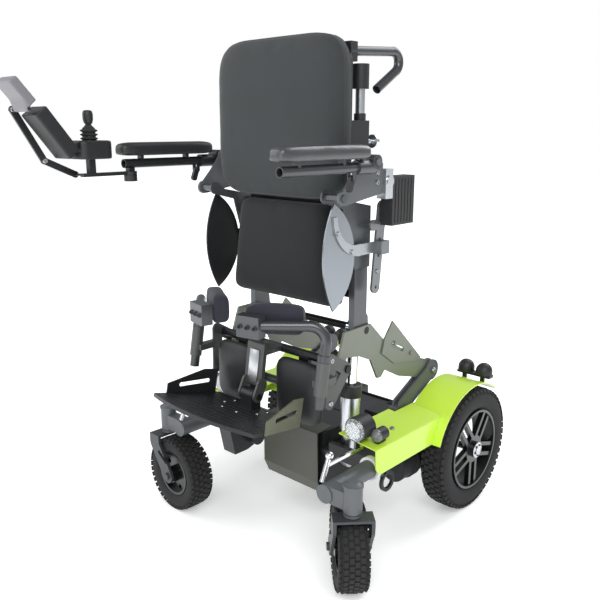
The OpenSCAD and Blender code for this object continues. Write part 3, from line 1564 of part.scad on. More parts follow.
// Knee arms, each with a socket in its lower end
module knee_arm() {
  difference() {
    knee_path(knee_r);
    rod(on_knee(knee_low_z - over), on_knee(knee_low_z + socket_len), knee_bore);
  }
  rod(on_knee(sleeve_top + part_gap), on_knee(sleeve_top + lug_half), lug_half);
  knee_bracket();
  rod(knee_seat(part_gap), knee_seat(block_d), pin_r);
}
module knee_path(r) {
  p0 = [knee_x, knee_low_y, knee_low_z];
  p1 = [knee_x, knee_top_y, knee_top_z];
  p2 = [knee_end_x, knee_end_y, knee_top_z];
  d1 = (p1 - p0) / norm(p1 - p0);
  d2 = (p2 - p1) / norm(p2 - p1);
  turn = acos(d1 * d2);
  reach = knee_bend * tan(turn / 2);
  a = p1 - reach * d1;
  b = p1 + reach * d2;
  side_dir = (d2 - (d1 * d2) * d1) / norm(d2 - (d1 * d2) * d1);
  up_dir = cross(side_dir, d1);
  rod(p0, a + over * d1, r);
  rod(b - over * d2, p2, r);
  multmatrix([[-side_dir[0], d1[0], up_dir[0], a[0] + knee_bend * side_dir[0]],
    [-side_dir[1], d1[1], up_dir[1], a[1] + knee_bend * side_dir[1]],
    [-side_dir[2], d1[2], up_dir[2], a[2] + knee_bend * side_dir[2]], [0, 0, 0, 1]])
    rotate_extrude(angle = turn) translate([knee_bend, 0]) circle(r + swell);
}
module left_knee_arm() color("#54585b") placed() knee_arm();
module right_knee_arm() color("#54585b") placed() mirror([1, 0, 0]) knee_arm();

// Knee bracket with three bolts
module knee_bracket() translate([block_x, block_y, block_low]) rotate(block_yaw) {
  slab(-block_w / 2, block_w / 2, -block_d / 2, block_d / 2, 0, block_h);
  for (s = [-1, 0, 1]) translate([s * block_w / 3, -block_d / 2, block_h / 2]) rotate([90, 0, 0])
    cylinder(h = bolt_h, r = bolt_r);
}

// Knee pads, cups that face the user
module knee_pad() translate([block_x, knee_pad_back, knee_pad_low]) rotate(knee_pad_yaw)
  translate([knee_pad_shift, 0, 0]) mirror([0, 1, 0])
  cushion(knee_pad_half, knee_pad_h, knee_pad_t, 0);
module left_knee_pad() color("#2c2f3a") placed() knee_pad();
module right_knee_pad() color("#2c2f3a") placed() mirror([1, 0, 0]) knee_pad();

// Footplate pieces, drawn flat with the back edge on the origin and the toes towards -Y
module on_step() {
  translate([0, step_back, step_back_z]) rotate([-step_tilt, 0, 0]) children();
}
module foot_rest() color("#2a2c2e") placed() {
  pin(-2 * drive_r, 2 * drive_r, [drive_y, drive_z], drive_r);
  on_step() difference() {
    translate([0, 0, -step_t]) linear_extrude(step_t) polygon(concat([[-step_half, 0], [step_half, 0]],
      [for (i = [-6 : 6]) [-i / 6 * step_front_half, -step_len - step_bow * (1 - i * i / 36)]]));
    for (i = [1 : 11]) translate([-step_front_half, -i * step_len / 10 - sheet_t / 2, -rib_d])
      cube([2 * step_front_half, sheet_t, rib_d + over]);
  }
  side(-keel_half, keel_half) difference() {
    union() {
      link([step_y, step_z], [step_y, step_back_z], 2 * pin_r);
      polygon([[step_y + 2 * pin_r, step_back_z], [step_y + 2 * pin_r, drive_z - drive_r],
        [keel_y + drive_r, keel_z], [keel_y - drive_r, keel_z], [keel_y - 2 * drive_r, step_back_z]]);
    }
    translate([step_y, step_z]) circle(pin_r + run_gap);
    translate([drive_y, drive_z]) circle(drive_r);
  }
}

// Side wings of the footplate, each with a slot
module wing() on_step() {
  toe = atan2(step_front_half - step_half, step_len);
  translate([step_half + run_gap, 0, 0]) rotate(toe) rotate([90, 0,
    90]) linear_extrude(small_t) difference() {
    polygon([[-2 * plate_t, -step_t], [-2 * plate_t, wing_h], [-wing_len / 3, wing_h], [-wing_len,
      wing_front_h],
      [-wing_len, -step_t]]);
    link([-wing_len / 4, wing_h / 2], [-wing_len * 3 / 4, wing_h / 3], bolt_r);
  }
}
module left_wing() color("#5f614f") placed() wing();
module right_wing() color("#1c1d1f") placed() mirror([1, 0, 0]) wing();

base_frame();
front_cover();
battery_box();
batteries();
drive_units();
fenders();
front_lamps();
headlight_lenses();
tail_lamps();
caster_beams();
levelling_struts();
left_tyre();
right_tyre();
left_wheel();
right_wheel();
left_caster_fork();
right_caster_fork();
left_caster_tyre();
right_caster_tyre();
left_caster_rim();
right_caster_rim();
lift_towers();
lift_plates();
seat_shaft();
actuator_body();
actuator_rod();
seat_chassis();
seat_cushion();
guard_brackets();
left_guard();
right_guard();
back_panel();
back_cushion();
back_tubes();
push_handles();
horn_brackets();
control_module();
left_arm_pad();
right_arm_pad();
left_armrest();
right_armrest();
left_lever();
right_lever();
joystick_arm();
joystick_unit();
joystick_gimbal();
joystick_lever();
yellow_button();
silver_button();
display_head();
leg_rest();
calf_pads();
left_knee_arm();
right_knee_arm();
left_knee_pad();
right_knee_pad();
foot_rest();
left_wing();
right_wing();
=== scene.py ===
"""Standing wheelchair: finishes, tyres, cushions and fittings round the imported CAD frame."""

import logging
import math
from dataclasses import dataclass, field, replace
from enum import Enum
from typing import Any, Iterable, Sequence

import bmesh
import bpy
import numpy as np
from mathutils import Matrix, Vector


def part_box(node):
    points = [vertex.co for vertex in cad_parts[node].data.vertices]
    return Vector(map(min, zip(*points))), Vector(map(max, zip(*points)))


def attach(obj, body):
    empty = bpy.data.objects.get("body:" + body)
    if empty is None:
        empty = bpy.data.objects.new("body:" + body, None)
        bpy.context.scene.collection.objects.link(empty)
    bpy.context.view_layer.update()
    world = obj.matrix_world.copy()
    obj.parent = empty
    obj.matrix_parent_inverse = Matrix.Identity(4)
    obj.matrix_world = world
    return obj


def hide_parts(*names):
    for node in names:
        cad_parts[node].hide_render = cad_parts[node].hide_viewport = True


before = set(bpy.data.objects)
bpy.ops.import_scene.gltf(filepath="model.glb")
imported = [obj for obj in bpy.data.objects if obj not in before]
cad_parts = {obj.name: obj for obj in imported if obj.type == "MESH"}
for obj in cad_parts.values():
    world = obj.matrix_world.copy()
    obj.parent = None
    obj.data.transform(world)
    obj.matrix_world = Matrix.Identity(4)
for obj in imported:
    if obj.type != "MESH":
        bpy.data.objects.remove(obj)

Piece = bpy.types.Object
Tree = bpy.types.NodeTree
Node = bpy.types.Node
Socket = bpy.types.NodeSocket
Point = tuple[float, float, float]
Head = tuple[Point, Point]
Profile = Sequence[tuple[float, float]]

LOG = logging.getLogger("standing_wheelchair")

# Metres in a millimetre
MM = 0.001
# From the datum on which Y was measured to the row frame, in mm
SHIFT = 177.5
# Sides of the chair, left first
SIDES = ((1.0, "left"), (-1.0, "right"))
# Bore of the caster tyres in m
CASTER_BORE = 0.062
# Near face of the joystick's link bar in mm
LINK_FACE = -307.0
# Footplate: tilt in degrees, and its back edge in mm
DECK_TILT = 12.0
DECK_Y = -300 + SHIFT
DECK_Z = 378
# Left knee bracket: turn in degrees, middle, half depth with its plate, and bolt spacing in mm
KNEE_YAW = 12.0
KNEE_X = 89
KNEE_Y = -404 + SHIFT
KNEE_Z = 630.0
KNEE_FACE = -19.0
KNEE_STEP = 62 / 3
# Foot and eye of the lift actuator in mm
ACTUATOR_FOOT = (152, -118 + SHIFT, 215)
ACTUATOR_EYE = (152, -102 + SHIFT, 576)
# Upper and lower end of the leg column in mm
COLUMN_TOP = (0, -298 + SHIFT, 545)
COLUMN_LOW = (0, -313 + SHIFT, 446)
# Foot of the stick's axis on the ground in mm
STICK_FOOT = (-265, -575 + SHIFT, 0)
# Size of the bright strap on the column and the way to its middle, along and out, in m
STRAP_SIZE = (0.0326, 0.0046, 0.0842)
STRAP_ALONG = 0.056
STRAP_OUT = 0.0068
# Middle of a headlight's rim, in mm
HEADLIGHT_X = 245
HEADLIGHT_Y = -209 + SHIFT
HEADLIGHT_Z = 355
# Plane, spacing across and up, and reach of its lenslets in mm, and their radius in m
LENSLET_Y = -217.3 + SHIFT
LENSLET_ACROSS = 7.2
LENSLET_UP = 6.3
LENSLET_REACH = 19.5
LENSLET_R = 0.0036
# Left indicator and left caster stem's bush in mm
INDICATOR = (284, -172 + SHIFT, 340)
ARM_BUSH = (270, -174 + SHIFT, 250)
# Top of a bolt head and its hexagon, as shares of the head's radius
HEAD_TAPER = 0.82
SOCKET_SHARE = 0.5
# Points of a tyre's section, and the height of its sidewall's foot in m
CASING_STEPS = 14
WALL_FOOT = 0.012
# Welts: points, squareness of the run, radius, and depth in the cover in m
WELT_STEPS = 120
WELT_CORNER = 0.36
WELT_R = 0.0016
WELT_SINK = 0.0004
# Pumping: steps, and how far a cover is drawn in first, as a share of its swell
PUMP_STEPS = 20
DRAWN_IN = 0.3
# Half the floor's edge in m, and the white of the background
FLOOR = 14.0
WHITE = (1.0, 1.0, 1.0, 1.0)


def srgb(code: str) -> tuple[float, float, float, float]:
    """Turn an sRGB hex code into a linear colour.

    Args:
        code: Six hex digits, with or without a leading hash.

    Returns:
        The linear red, green, blue and alpha.
    """
    code = code.lstrip("#")
    parts = [int(code[i : i + 2], 16) / 255 for i in (0, 2, 4)]
    linear = [c / 12.92 if c <= 0.04045 else ((c + 0.055) / 1.055) ** 2.4 for c in parts]
    return (linear[0], linear[1], linear[2], 1.0)


def feed(tree: Tree, socket: Socket, value: Any) -> None:
    """Link a node or a socket into an input, or set the input's value.

    Args:
        tree: The tree.
        socket: The input.
        value: A node, which gives its first output, a socket or a plain value.
    """
    if isinstance(value, Node):
        value = value.outputs[0]
    if isinstance(value, Socket):
        tree.links.new(value, socket)
    else:
        socket.default_value = value


def add_node(tree: Tree, kind: str, **values: Any) -> Node:
    """Add a node and feed its inputs by name.

    Args:
        tree: The tree that gets the node.
        kind: The node's type name.
        **values: Values or sockets, with spaces in input names written as underscores.

    Returns:
        The new node.
    """
    node = tree.nodes.new(kind)
    for name, value in values.items():
        feed(tree, node.inputs[name.replace("_", " ")], value)
    return node


def reckon(tree: Tree, operation: str, *values: Any) -> Socket:
    """Add a math node.

    Args:
        tree: The tree that gets the node.
        operation: The sum to do.
        *values: Values or sockets, in the order of the inputs.

    Returns:
        The result.
    """
    node = add_node(tree, "ShaderNodeMath")
    node.operation = operation
    for socket, value in zip(node.inputs, values):
        feed(tree, socket, value)
    return node.outputs[0]


def mixed(tree: Tree, share: Any, first: Any, second: Any) -> Socket:
    """Add a node that mixes two colours.

    Args:
        tree: The tree that gets the node.
        share: Share of the second colour.
        first: The first colour.
        second: The second colour.

    Returns:
        The mixed colour.
    """
    node = add_node(tree, "ShaderNodeMix")
    node.data_type = "RGBA"
    for index, value in ((0, share), (6, first), (7, second)):
        feed(tree, node.inputs[index], value)
    return node.outputs[2]


class Grain(Enum):
    """The fine relief of a finish."""

    SMOOTH = "smooth"
    POWDER = "powder"
    MOULDED = "moulded"
    KNIT = "knit"
    RUBBER = "rubber"
    BRUSHED = "brushed"


@dataclass(frozen=True)
class Finish:
    """A procedural finish, named by its material and how it is made.

    Attributes:
        name: The material's name.
        colour: sRGB hex of the body colour.
        roughness: Surface roughness.
        metallic: 1 for bare metal.
        grain: The fine relief.
        grain_mm: Size of the relief.
        depth_mm: Height of the relief.
        coat: Weight of a clear coat.
        sheen: Weight of a fibre sheen.
        glass: Weight of transmission.
        edge_mm: Radius by which edges are rounded in shading.
        shade: How far the colour wanders, as a share.
        band_mm: Distances from the middle plane between which the second colour shows.
        band_colour: sRGB hex of the second colour.
    """

    name: str
    colour: str
    roughness: float = 0.5
    metallic: float = 0.0
    grain: Grain = Grain.SMOOTH
    grain_mm: float = 1.0
    depth_mm: float = 0.05
    coat: float = 0.0
    sheen: float = 0.0
    glass: float = 0.0
    edge_mm: float = 0.8
    shade: float = 0.08
    band_mm: tuple[float, float] | None = None
    band_colour: str = "#000000"

    def material(self) -> bpy.types.Material:
        """Return the material, made at its first use.

        Returns:
            The Blender material.
        """
        found = bpy.data.materials.get(self.name)
        if found is not None:
            return found
        made = bpy.data.materials.new(self.name)
        made.use_nodes = True
        tree = made.node_tree
        tree.nodes.clear()
        where = add_node(tree, "ShaderNodeTexCoord").outputs["Object"]
        cloud = add_node(tree, "ShaderNodeTexNoise", Vector=where, Scale=9.0, Detail=4.0)
        colour = srgb(self.colour)[:3]
        dark = tuple(c * (1 - self.shade) for c in colour) + (1.0,)
        light = tuple(min(1.0, c * (1 + self.shade)) for c in colour) + (1.0,)
        painted = mixed(tree, cloud, dark, light)
        edge = add_node(tree, "ShaderNodeBevel", Radius=self.edge_mm * MM)
        edge.samples = 4
        normal = edge
        relief = self._relief(tree, where)
        if relief is not None:
            depth = self.depth_mm * MM
            normal = add_node(
                tree, "ShaderNodeBump", Strength=0.7, Distance=depth, Height=relief, Normal=edge
            )
        shader = add_node(
            tree,
            "ShaderNodeBsdfPrincipled",
            Base_Color=painted if self.band_mm is None else self._band(tree, where, painted),
            Roughness=self.roughness,
            Metallic=self.metallic,
            Coat_Weight=self.coat,
            Coat_Roughness=0.12,
            Sheen_Weight=self.sheen,
            Transmission_Weight=self.glass,
            Normal=normal,
        )
        add_node(tree, "ShaderNodeOutputMaterial", Surface=shader)
        return made

    def _band(self, tree: Tree, where: Socket, ground: Socket) -> Socket:
        """Lay the second colour over the pieces at a distance from the middle plane.

        Args:
            tree: The material's tree.
            where: The place on the object.
            ground: The body colour.

        Returns:
            The colour socket with both colours.
        """
        low, high = self.band_mm
        axes = add_node(tree, "ShaderNodeSeparateXYZ", Vector=where)
        reach = reckon(tree, "ABSOLUTE", axes.outputs["X"])
        inside = reckon(tree, "COMPARE", reach, (low + high) / 2 * MM, (high - low) / 2 * MM)
        return mixed(tree, inside, ground, srgb(self.band_colour))

    def _relief(self, tree: Tree, where: Socket) -> Node | None:
        """Add the nodes of the fine relief.

        Args:
            tree: The material's tree.
            where: The place on the object.

        Returns:
            The node that gives the height, or None for a smooth finish.
        """
        scale = 1.0 / (self.grain_mm * MM)
        if self.grain is Grain.SMOOTH:
            return None
        if self.grain is Grain.KNIT:
            return add_node(tree, "ShaderNodeTexVoronoi", Vector=where, Scale=scale, Randomness=0.35)
        if self.grain is Grain.BRUSHED:
            where = add_node(tree, "ShaderNodeMapping", Vector=where, Scale=(1.0, 1.0, 0.04))
        return add_node(tree, "ShaderNodeTexNoise", Vector=where, Scale=scale, Detail=2.0)


# Sprayed and baked powder: a fine orange peel that breaks up the highlight
GREY_COAT = Finish("steel_grey_powder_coat", "#5a5d5f", 0.42, 0.25, Grain.POWDER, 0.7, 0.05)
BLACK_COAT = Finish("steel_black_powder_coat", "#1c1d1f", 0.42, 0.15, Grain.POWDER, 0.7, 0.05)
FORK_COAT = Finish("steel_fork_dark_coat", "#3d4042", 0.4, 0.25, Grain.POWDER, 0.7, 0.05)
# Metallic powder: greener and brighter where it faces the light
PLATE_COAT = Finish("steel_grey_green_coat", "#70756a", 0.36, 0.45, Grain.POWDER, 0.8, 0.05)
# Powder in two tones: the outer pieces lighter than those between them
RAIL_COAT = Finish(
    "steel_rail_two_tone_coat", "#535658", 0.34, 0.5, Grain.POWDER, 0.7, 0.04,
    band_mm=(0.0, 167.0), band_colour="#131415",
)
LEG_COAT = Finish(
    "steel_leg_two_tone_coat", "#4d504e", 0.42, 0.25, Grain.POWDER, 0.7, 0.05,
    band_mm=(31.0, 199.0), band_colour="#17181a",
)
# Drawn and brushed tube: a long soft highlight, drawn coarser than it is so that it shows
GUNMETAL = Finish("steel_gunmetal_tube", "#4c4e50", 0.28, 0.6, Grain.BRUSHED, 0.8, 0.03)
# Rolled and brushed sheet: upright streaks, with the leaf and its strap in two greys
SATIN_STEEL = Finish(
    "stainless_satin_sheet", "#878c91", 0.26, 0.85, Grain.BRUSHED, 0.8, 0.02,
    band_mm=(205.05, 216.0), band_colour="#9da1a4",
)
# Brushed and plated steel: fine streaks, grey on brackets and bright on bolts
BRACKET_STEEL = Finish("steel_bracket_satin_plate", "#75787a", 0.34, 0.7, Grain.BRUSHED, 0.6, 0.02)
ZINC = Finish("steel_zinc_plated", "#a9acae", 0.3, 1.0, Grain.BRUSHED, 0.5, 0.02)
# Plated mirror and blackened steel: a sharp highlight and a dull one, without relief
CHROME = Finish("steel_chrome_plated", "#dcdee0", 0.07, 1.0)
BLACK_OXIDE = Finish("steel_black_oxide", "#232425", 0.35, 0.7)
# Cast alloy: lacquered black, turned bright, or left with the grain of the die
ALLOY_BLACK = Finish("cast_alloy_black_gloss", "#131415", 0.28, 0.2, Grain.SMOOTH, coat=0.4)
ALLOY_BRIGHT = Finish("cast_alloy_machined", "#c6c9cc", 0.28, 1.0, Grain.BRUSHED, 0.6, 0.02)
CAST_GREY = Finish("die_cast_dark_grey", "#2d2f31", 0.55, 0.4, Grain.MOULDED, 1.2, 0.1)
# Sprayed gloss under lacquer: an even colour with a clear highlight along rounded edges
LIME = Finish(
    "moulded_lime_gloss_paint", "#c3e644", 0.28, 0.0, Grain.SMOOTH,
    coat=0.5, shade=0.03, edge_mm=1.5,
)
# Injection moulding: the mould's spark grain, drawn coarser than it is so that it shows
BLACK_PLASTIC = Finish("abs_black_moulded", "#161718", 0.5, 0.0, Grain.MOULDED, 0.6, 0.06)
OLIVE_GLOSS = Finish("abs_olive_grey", "#5f6150", 0.35, 0.0, Grain.MOULDED, 0.6, 0.04)
COVER_GREY = Finish("abs_dark_grey_brown", "#46473f", 0.42, 0.0, Grain.MOULDED, 0.7, 0.05)
HEAD_GREY = Finish("abs_warm_grey_moulded", "#6f6e73", 0.45, 0.0, Grain.MOULDED, 0.6, 0.05)
BATTERY = Finish("polypropylene_battery_case", "#2c2f33", 0.6, 0.0, Grain.MOULDED, 0.9, 0.08)
# Polished mould and turned rod: plain, even and half glossy
YELLOW = Finish("abs_yellow_button", "#e6c829", 0.35)
WHITE_PLASTIC = Finish("acetal_white_turned", "#e4e5e6", 0.4)
# Spacer knit: rows of dull cells with a faint fibre sheen, drawn coarser than they are
FABRIC = Finish("polyester_charcoal_knit", "#282c2d", 0.95, 0.0, Grain.KNIT, 1.8, 0.5, sheen=0.15, shade=0.1)
# The seat's cover is the back's charcoal knit drawn darker: painted shade on the seat
SHADED_SEAT_FABRIC = replace(FABRIC, name="polyester_charcoal_knit_painted_shade", colour="#131617", sheen=0.12)
NAVY_FABRIC = replace(FABRIC, name="polyester_navy_knit", colour="#23252f", roughness=0.92)
# Foam with a moulded skin: a leathery grain under a soft highlight
ARM_SKIN = Finish("polyurethane_black_skin", "#1b1c1d", 0.5, 0.0, Grain.MOULDED, 1.2, 0.12)
ARM_GREY = Finish("polyurethane_grey_skin", "#3a3b3d", 0.35, 0.0, Grain.MOULDED, 1.2, 0.08, coat=0.3)
# Vulcanised rubber: dull black with fine pits, drawn coarser than they are so that they show
TYRE = Finish("rubber_black_tyre", "#202021", 0.85, 0.0, Grain.RUBBER, 1.6, 0.15)
# Clear and smoked mouldings: the reflector shows through behind a sharp highlight
LENS = Finish("polycarbonate_clear_lens", "#f4f8fa", 0.03, 0.0, glass=0.92, shade=0.0, edge_mm=0.3)
LED_LENS = Finish("acrylic_led_lens", "#f4f7f9", 0.08, 0.0, glass=0.35, shade=0.0, edge_mm=0.1)
SMOKED = Finish("acrylic_smoked_lens", "#8c8f90", 0.08, 0.0, glass=0.55, coat=0.6, shade=0.0)
# Metallised facets: each cell throws its own bright patch
REFLECTOR = Finish("vacuum_metallised_reflector", "#f1f3f4", 0.3, 0.35, Grain.KNIT, 4.0, 0.8)

# CAD nodes that keep their own mesh, by finish
FINISHED_NODES: dict[Finish, str] = {
    BLACK_COAT: "base_frame right_armrest joystick_arm foot_rest",
    GREY_COAT: "caster_beams lift_towers horn_brackets",
    FORK_COAT: "left_caster_fork right_caster_fork",
    PLATE_COAT: "lift_plates",
    RAIL_COAT: "seat_chassis",
    LEG_COAT: "leg_rest",
    GUNMETAL: "push_handles left_armrest left_knee_arm right_knee_arm",
    SATIN_STEEL: "left_guard",
    BRACKET_STEEL: "guard_brackets",
    ZINC: "joystick_gimbal silver_button",
    CHROME: "levelling_struts actuator_rod",
    BLACK_OXIDE: "seat_shaft",
    ALLOY_BLACK: "left_wheel right_wheel left_caster_rim right_caster_rim",
    ALLOY_BRIGHT: "actuator_body back_tubes",
    CAST_GREY: "drive_units",
    LIME: "fenders",
    BLACK_PLASTIC: (
        "battery_box front_lamps tail_lamps right_guard back_panel control_module "
        "left_lever right_lever joystick_lever right_wing"
    ),
    OLIVE_GLOSS: "left_wing",
    COVER_GREY: "front_cover",
    BATTERY: "batteries",
    YELLOW: "yellow_button",
    LENS: "headlight_lenses",
}

# Turned profiles, radius and height in mm
HUB_CAP: Profile = (
    (0, 43.1), (22.8, 43.1), (22.8, 43.4), (21.6, 44.0),
    (13, 44.5), (12.6, 47.2), (12, 47.6), (0, 47.6),
)
RIM_EDGE: Profile = ((109.2, 35.1), (115.6, 35.1), (115.4, 35.9), (112.4, 36.3), (109.4, 35.9))
BOWL: Profile = (
    (0, -30), (26, -29), (27, -6), (27.4, -1.2), (25.6, -1.2),
    (23, -5.5), (17, -9.5), (9, -12), (0, -13),
)
INDICATOR_CAP: Profile = (
    (0, -2), (16.5, -2), (16.5, 1.5), (15.4, 4.6),
    (12.6, 7.6), (8.6, 9.4), (4, 10.1), (0, 10.3),
)
BUSH: Profile = ((29.1, -8.2), (29.8, -7.6), (29.8, 7.4), (29.1, 8.1), (23.2, 8.1), (23.2, -8.2))
GLAND: Profile = (
    (28.2, 177.0), (28.8, 178.0), (28.8, 209.0),
    (27.0, 210.6), (15.4, 210.6), (26.3, 177.0),
)
GRIP: Profile = (
    (0, 1081), (6.5, 1081), (9.5, 1084), (11.6, 1092),
    (11.8, 1104), (10.6, 1110), (7.5, 1112.6), (0, 1113.2),
)
# One fold of the stick's bellows, from its lower end
FOLD: Profile = ((19.6, 1.2), (20.2, 2.4), (19.2, 3.6), (14.5, 5.6), (14.5, 7.2))

# Tread rows: offset share, tilt in degrees, phase share and block size in mm
DRIVE_ROWS = (
    (0.0, 0.0, 0.0, (7.0, 15.0, 13.0)),
    (0.37, 6.0, 0.5, (7.0, 14.0, 12.0)),
    (-0.37, -6.0, 0.5, (7.0, 14.0, 12.0)),
    (0.74, 26.0, 0.0, (9.0, 14.0, 13.0)),
    (-0.74, -26.0, 0.0, (9.0, 14.0, 13.0)),
)
CASTER_ROWS = (
    (0.18, 2.0, 0.0, (5.0, 13.0, 11.0)),
    (-0.18, -2.0, 0.5, (5.0, 13.0, 11.0)),
    (0.53, 10.0, 0.5, (5.0, 13.0, 11.0)),
    (-0.53, -10.0, 0.0, (5.0, 13.0, 11.0)),
    (0.85, 38.0, 0.0, (6.0, 12.0, 11.0)),
    (-0.85, -38.0, 0.5, (6.0, 12.0, 11.0)),
)


def link_mesh(name: str, verts: Sequence[Sequence[float]], faces: Sequence[Sequence[int]]) -> Piece:
    """Make a mesh object at the origin.

    Args:
        name: The object's name.
        verts: Points in metres.
        faces: Point indices of each face.

    Returns:
        The linked object.
    """
    mesh = bpy.data.meshes.new(name)
    mesh.from_pydata([tuple(v) for v in verts], [], [tuple(f) for f in faces])
    mesh.update()
    made = bpy.data.objects.new(name, mesh)
    bpy.context.scene.collection.objects.link(made)
    return made


def facing(at: Vector, way: Sequence[float]) -> Matrix:
    """Place a local frame so that its Z axis points one way.

    Args:
        at: The frame's origin in metres.
        way: The direction of its Z axis.

    Returns:
        The frame.
    """
    return Matrix.Translation(at) @ Vector(way).to_track_quat("Z", "Y").to_matrix().to_4x4()


def on_side(s: float, at: Point) -> Vector:
    """Put a point of the left side on either side.

    Args:
        s: 1 for the left side and -1 for the right.
        at: The point in mm.

    Returns:
        The point in metres.
    """
    return Vector((s * at[0], at[1], at[2])) * MM


def smooth(obj: Piece, degrees: float) -> None:
    """Shade an object smooth up to an angle.

    Args:
        obj: The object.
        degrees: Edges sharper than this stay sharp.
    """
    with bpy.context.temp_override(
        object=obj,
        active_object=obj,
        selected_objects=[obj],
        selected_editable_objects=[obj],
    ):
        bpy.ops.object.shade_smooth_by_angle(angle=math.radians(degrees))


def baked(obj: Piece) -> None:
    """Write an object's modifiers into its mesh.

    Args:
        obj: The object.
    """
    graph = bpy.context.evaluated_depsgraph_get()
    mesh = bpy.data.meshes.new_from_object(obj.evaluated_get(graph))
    old = obj.data
    obj.modifiers.clear()
    obj.data = mesh
    bpy.data.meshes.remove(old)


def eased(obj: Piece, rounds: int, finer: bool = False) -> None:
    """Ease an object's edges and shade all of it smooth.

    Args:
        obj: The object.
        rounds: How often the edges are eased.
        finer: Whether its faces are also split.
    """
    ease = obj.modifiers.new("ease", "SMOOTH")
    ease.factor = 0.5
    ease.iterations = rounds
    if finer:
        split = obj.modifiers.new("finer", "SUBSURF")
        split.levels = split.render_levels = 1
    baked(obj)
    for p in obj.data.polygons:
        p.use_smooth = True


def joined(name: str, objs: Sequence[Piece]) -> Piece:
    """Join plain meshes into one object.

    Args:
        name: The new object's name.
        objs: The objects, which are removed.

    Returns:
        The joined object.
    """
    verts: list[Vector] = []
    faces: list[tuple[int, ...]] = []
    for obj in objs:
        base = len(verts)
        verts.extend(obj.matrix_world @ v.co for v in obj.data.vertices)
        faces.extend(tuple(base + i for i in p.vertices) for p in obj.data.polygons)
    made = link_mesh(name, verts, faces)
    for obj in objs:
        bpy.data.objects.remove(obj)
    return made


def turned(name: str, profile: Profile, place: Matrix, steps: int = 64, degrees: float = 40.0) -> Piece:
    """Turn a closed profile round the local Z axis.

    Args:
        name: The object's name.
        profile: Radius and height of each point in mm, closed round.
        place: Where the local frame lies.
        steps: Number of steps round.
        degrees: Edges sharper than this stay sharp.

    Returns:
        The object.
    """
    n = len(profile)
    verts = []
    for k in range(steps):
        a = 2 * math.pi * k / steps
        for r, z in profile:
            verts.append(place @ Vector((r * MM * math.cos(a), r * MM * math.sin(a), z * MM)))
    faces = []
    for k in range(steps):
        for i in range(n):
            a, b = k * n + i, k * n + (i + 1) % n
            c, d = ((k + 1) % steps) * n + (i + 1) % n, ((k + 1) % steps) * n + i
            faces.append((a, d, c, b))
    made = link_mesh(name, verts, faces)
    smooth(made, degrees)
    return made


def loop_tube(name: str, path: Sequence[Vector], radius: float, sides: int) -> Piece:
    """Sweep a round tube along a path that runs round.

    Args:
        name: The object's name.
        path: Points of the path.
        radius: Tube radius.
        sides: Sides of the tube.

    Returns:
        The tube.
    """
    count = len(path)
    verts: list[Vector] = []
    side = Vector((0.0, 0.0, 1.0))
    for i, at in enumerate(path):
        way = (path[(i + 1) % count] - path[i - 1]).normalized()
        side = side - way * side.dot(way)
        side = side.normalized() if side.length > 1e-6 else way.orthogonal().normalized()
        up = way.cross(side)
        for k in range(sides):
            a = 2 * math.pi * k / sides
            verts.append(at + side * (radius * math.cos(a)) + up * (radius * math.sin(a)))
    faces: list[tuple[int, ...]] = []
    for i in range(count):
        n = (i + 1) % count
        for k in range(sides):
            m = (k + 1) % sides
            faces.append((i * sides + k, i * sides + m, n * sides + m, n * sides + k))
    return link_mesh(name, verts, faces)


def block(name: str, size: Sequence[float], place: Matrix, round_mm: float) -> Piece:
    """Make a box with rounded edges.

    Args:
        name: The object's name.
        size: Edge lengths.
        place: Where the box's middle lies.
        round_mm: Edge radius.

    Returns:
        The box.
    """
    edit = bmesh.new()
    bmesh.ops.create_cube(edit, size=1.0)
    bmesh.ops.scale(edit, vec=Vector(size), verts=edit.verts)
    bmesh.ops.bevel(
        edit,
        geom=edit.edges[:],
        offset=round_mm * MM,
        segments=2,
        affect="EDGES",
        profile=0.5,
    )
    bmesh.ops.transform(edit, matrix=place, verts=edit.verts)
    made = link_mesh(name, [], [])
    edit.to_mesh(made.data)
    edit.free()
    smooth(made, 30)
    return made


def disc(name: str, profile: Profile, place: Matrix, steps: int = 64) -> Piece:
    """Turn an open profile that starts and ends on the axis.

    Args:
        name: The object's name.
        profile: Radius and height in mm, from the lower axis point to the upper.
        place: Where the local frame lies.
        steps: Steps round.

    Returns:
        The turned piece.
    """
    verts = [place @ Vector((0.0, 0.0, z * MM)) for z in (profile[0][1], profile[-1][1])]
    rings = []
    for r, z in profile[1:-1]:
        rings.append(len(verts))
        for k in range(steps):
            a = 2 * math.pi * k / steps
            verts.append(place @ Vector((r * MM * math.cos(a), r * MM * math.sin(a), z * MM)))
    faces: list[tuple[int, ...]] = []
    for k in range(steps):
        n = (k + 1) % steps
        faces.append((0, rings[0] + n, rings[0] + k))
        faces.append((1, rings[-1] + k, rings[-1] + n))
        for low, high in zip(rings, rings[1:]):
            faces.append((low + k, low + n, high + n, high + k))
    made = link_mesh(name, verts, faces)
    smooth(made, 35)
    return made


def solid_copy(node: str, name: str, cell_mm: float) -> Piece:
    """Copy a CAD node's solid as an even mesh.

    Args:
        node: The CAD node.
        name: The copy's name.
        cell_mm: Mesh size.

    Returns:
        The copy.
    """
    obj = bpy.data.objects.new(name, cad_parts[node].data.copy())
    bpy.context.scene.collection.objects.link(obj)
    edit = bmesh.new()
    edit.from_mesh(obj.data)
    bmesh.ops.remove_doubles(edit, verts=edit.verts, dist=1e-5)
    edit.to_mesh(obj.data)
    edit.free()
    remesh = obj.modifiers.new("remesh", "REMESH")
    remesh.mode = "VOXEL"
    remesh.voxel_size = cell_mm * MM
    baked(obj)
    return obj


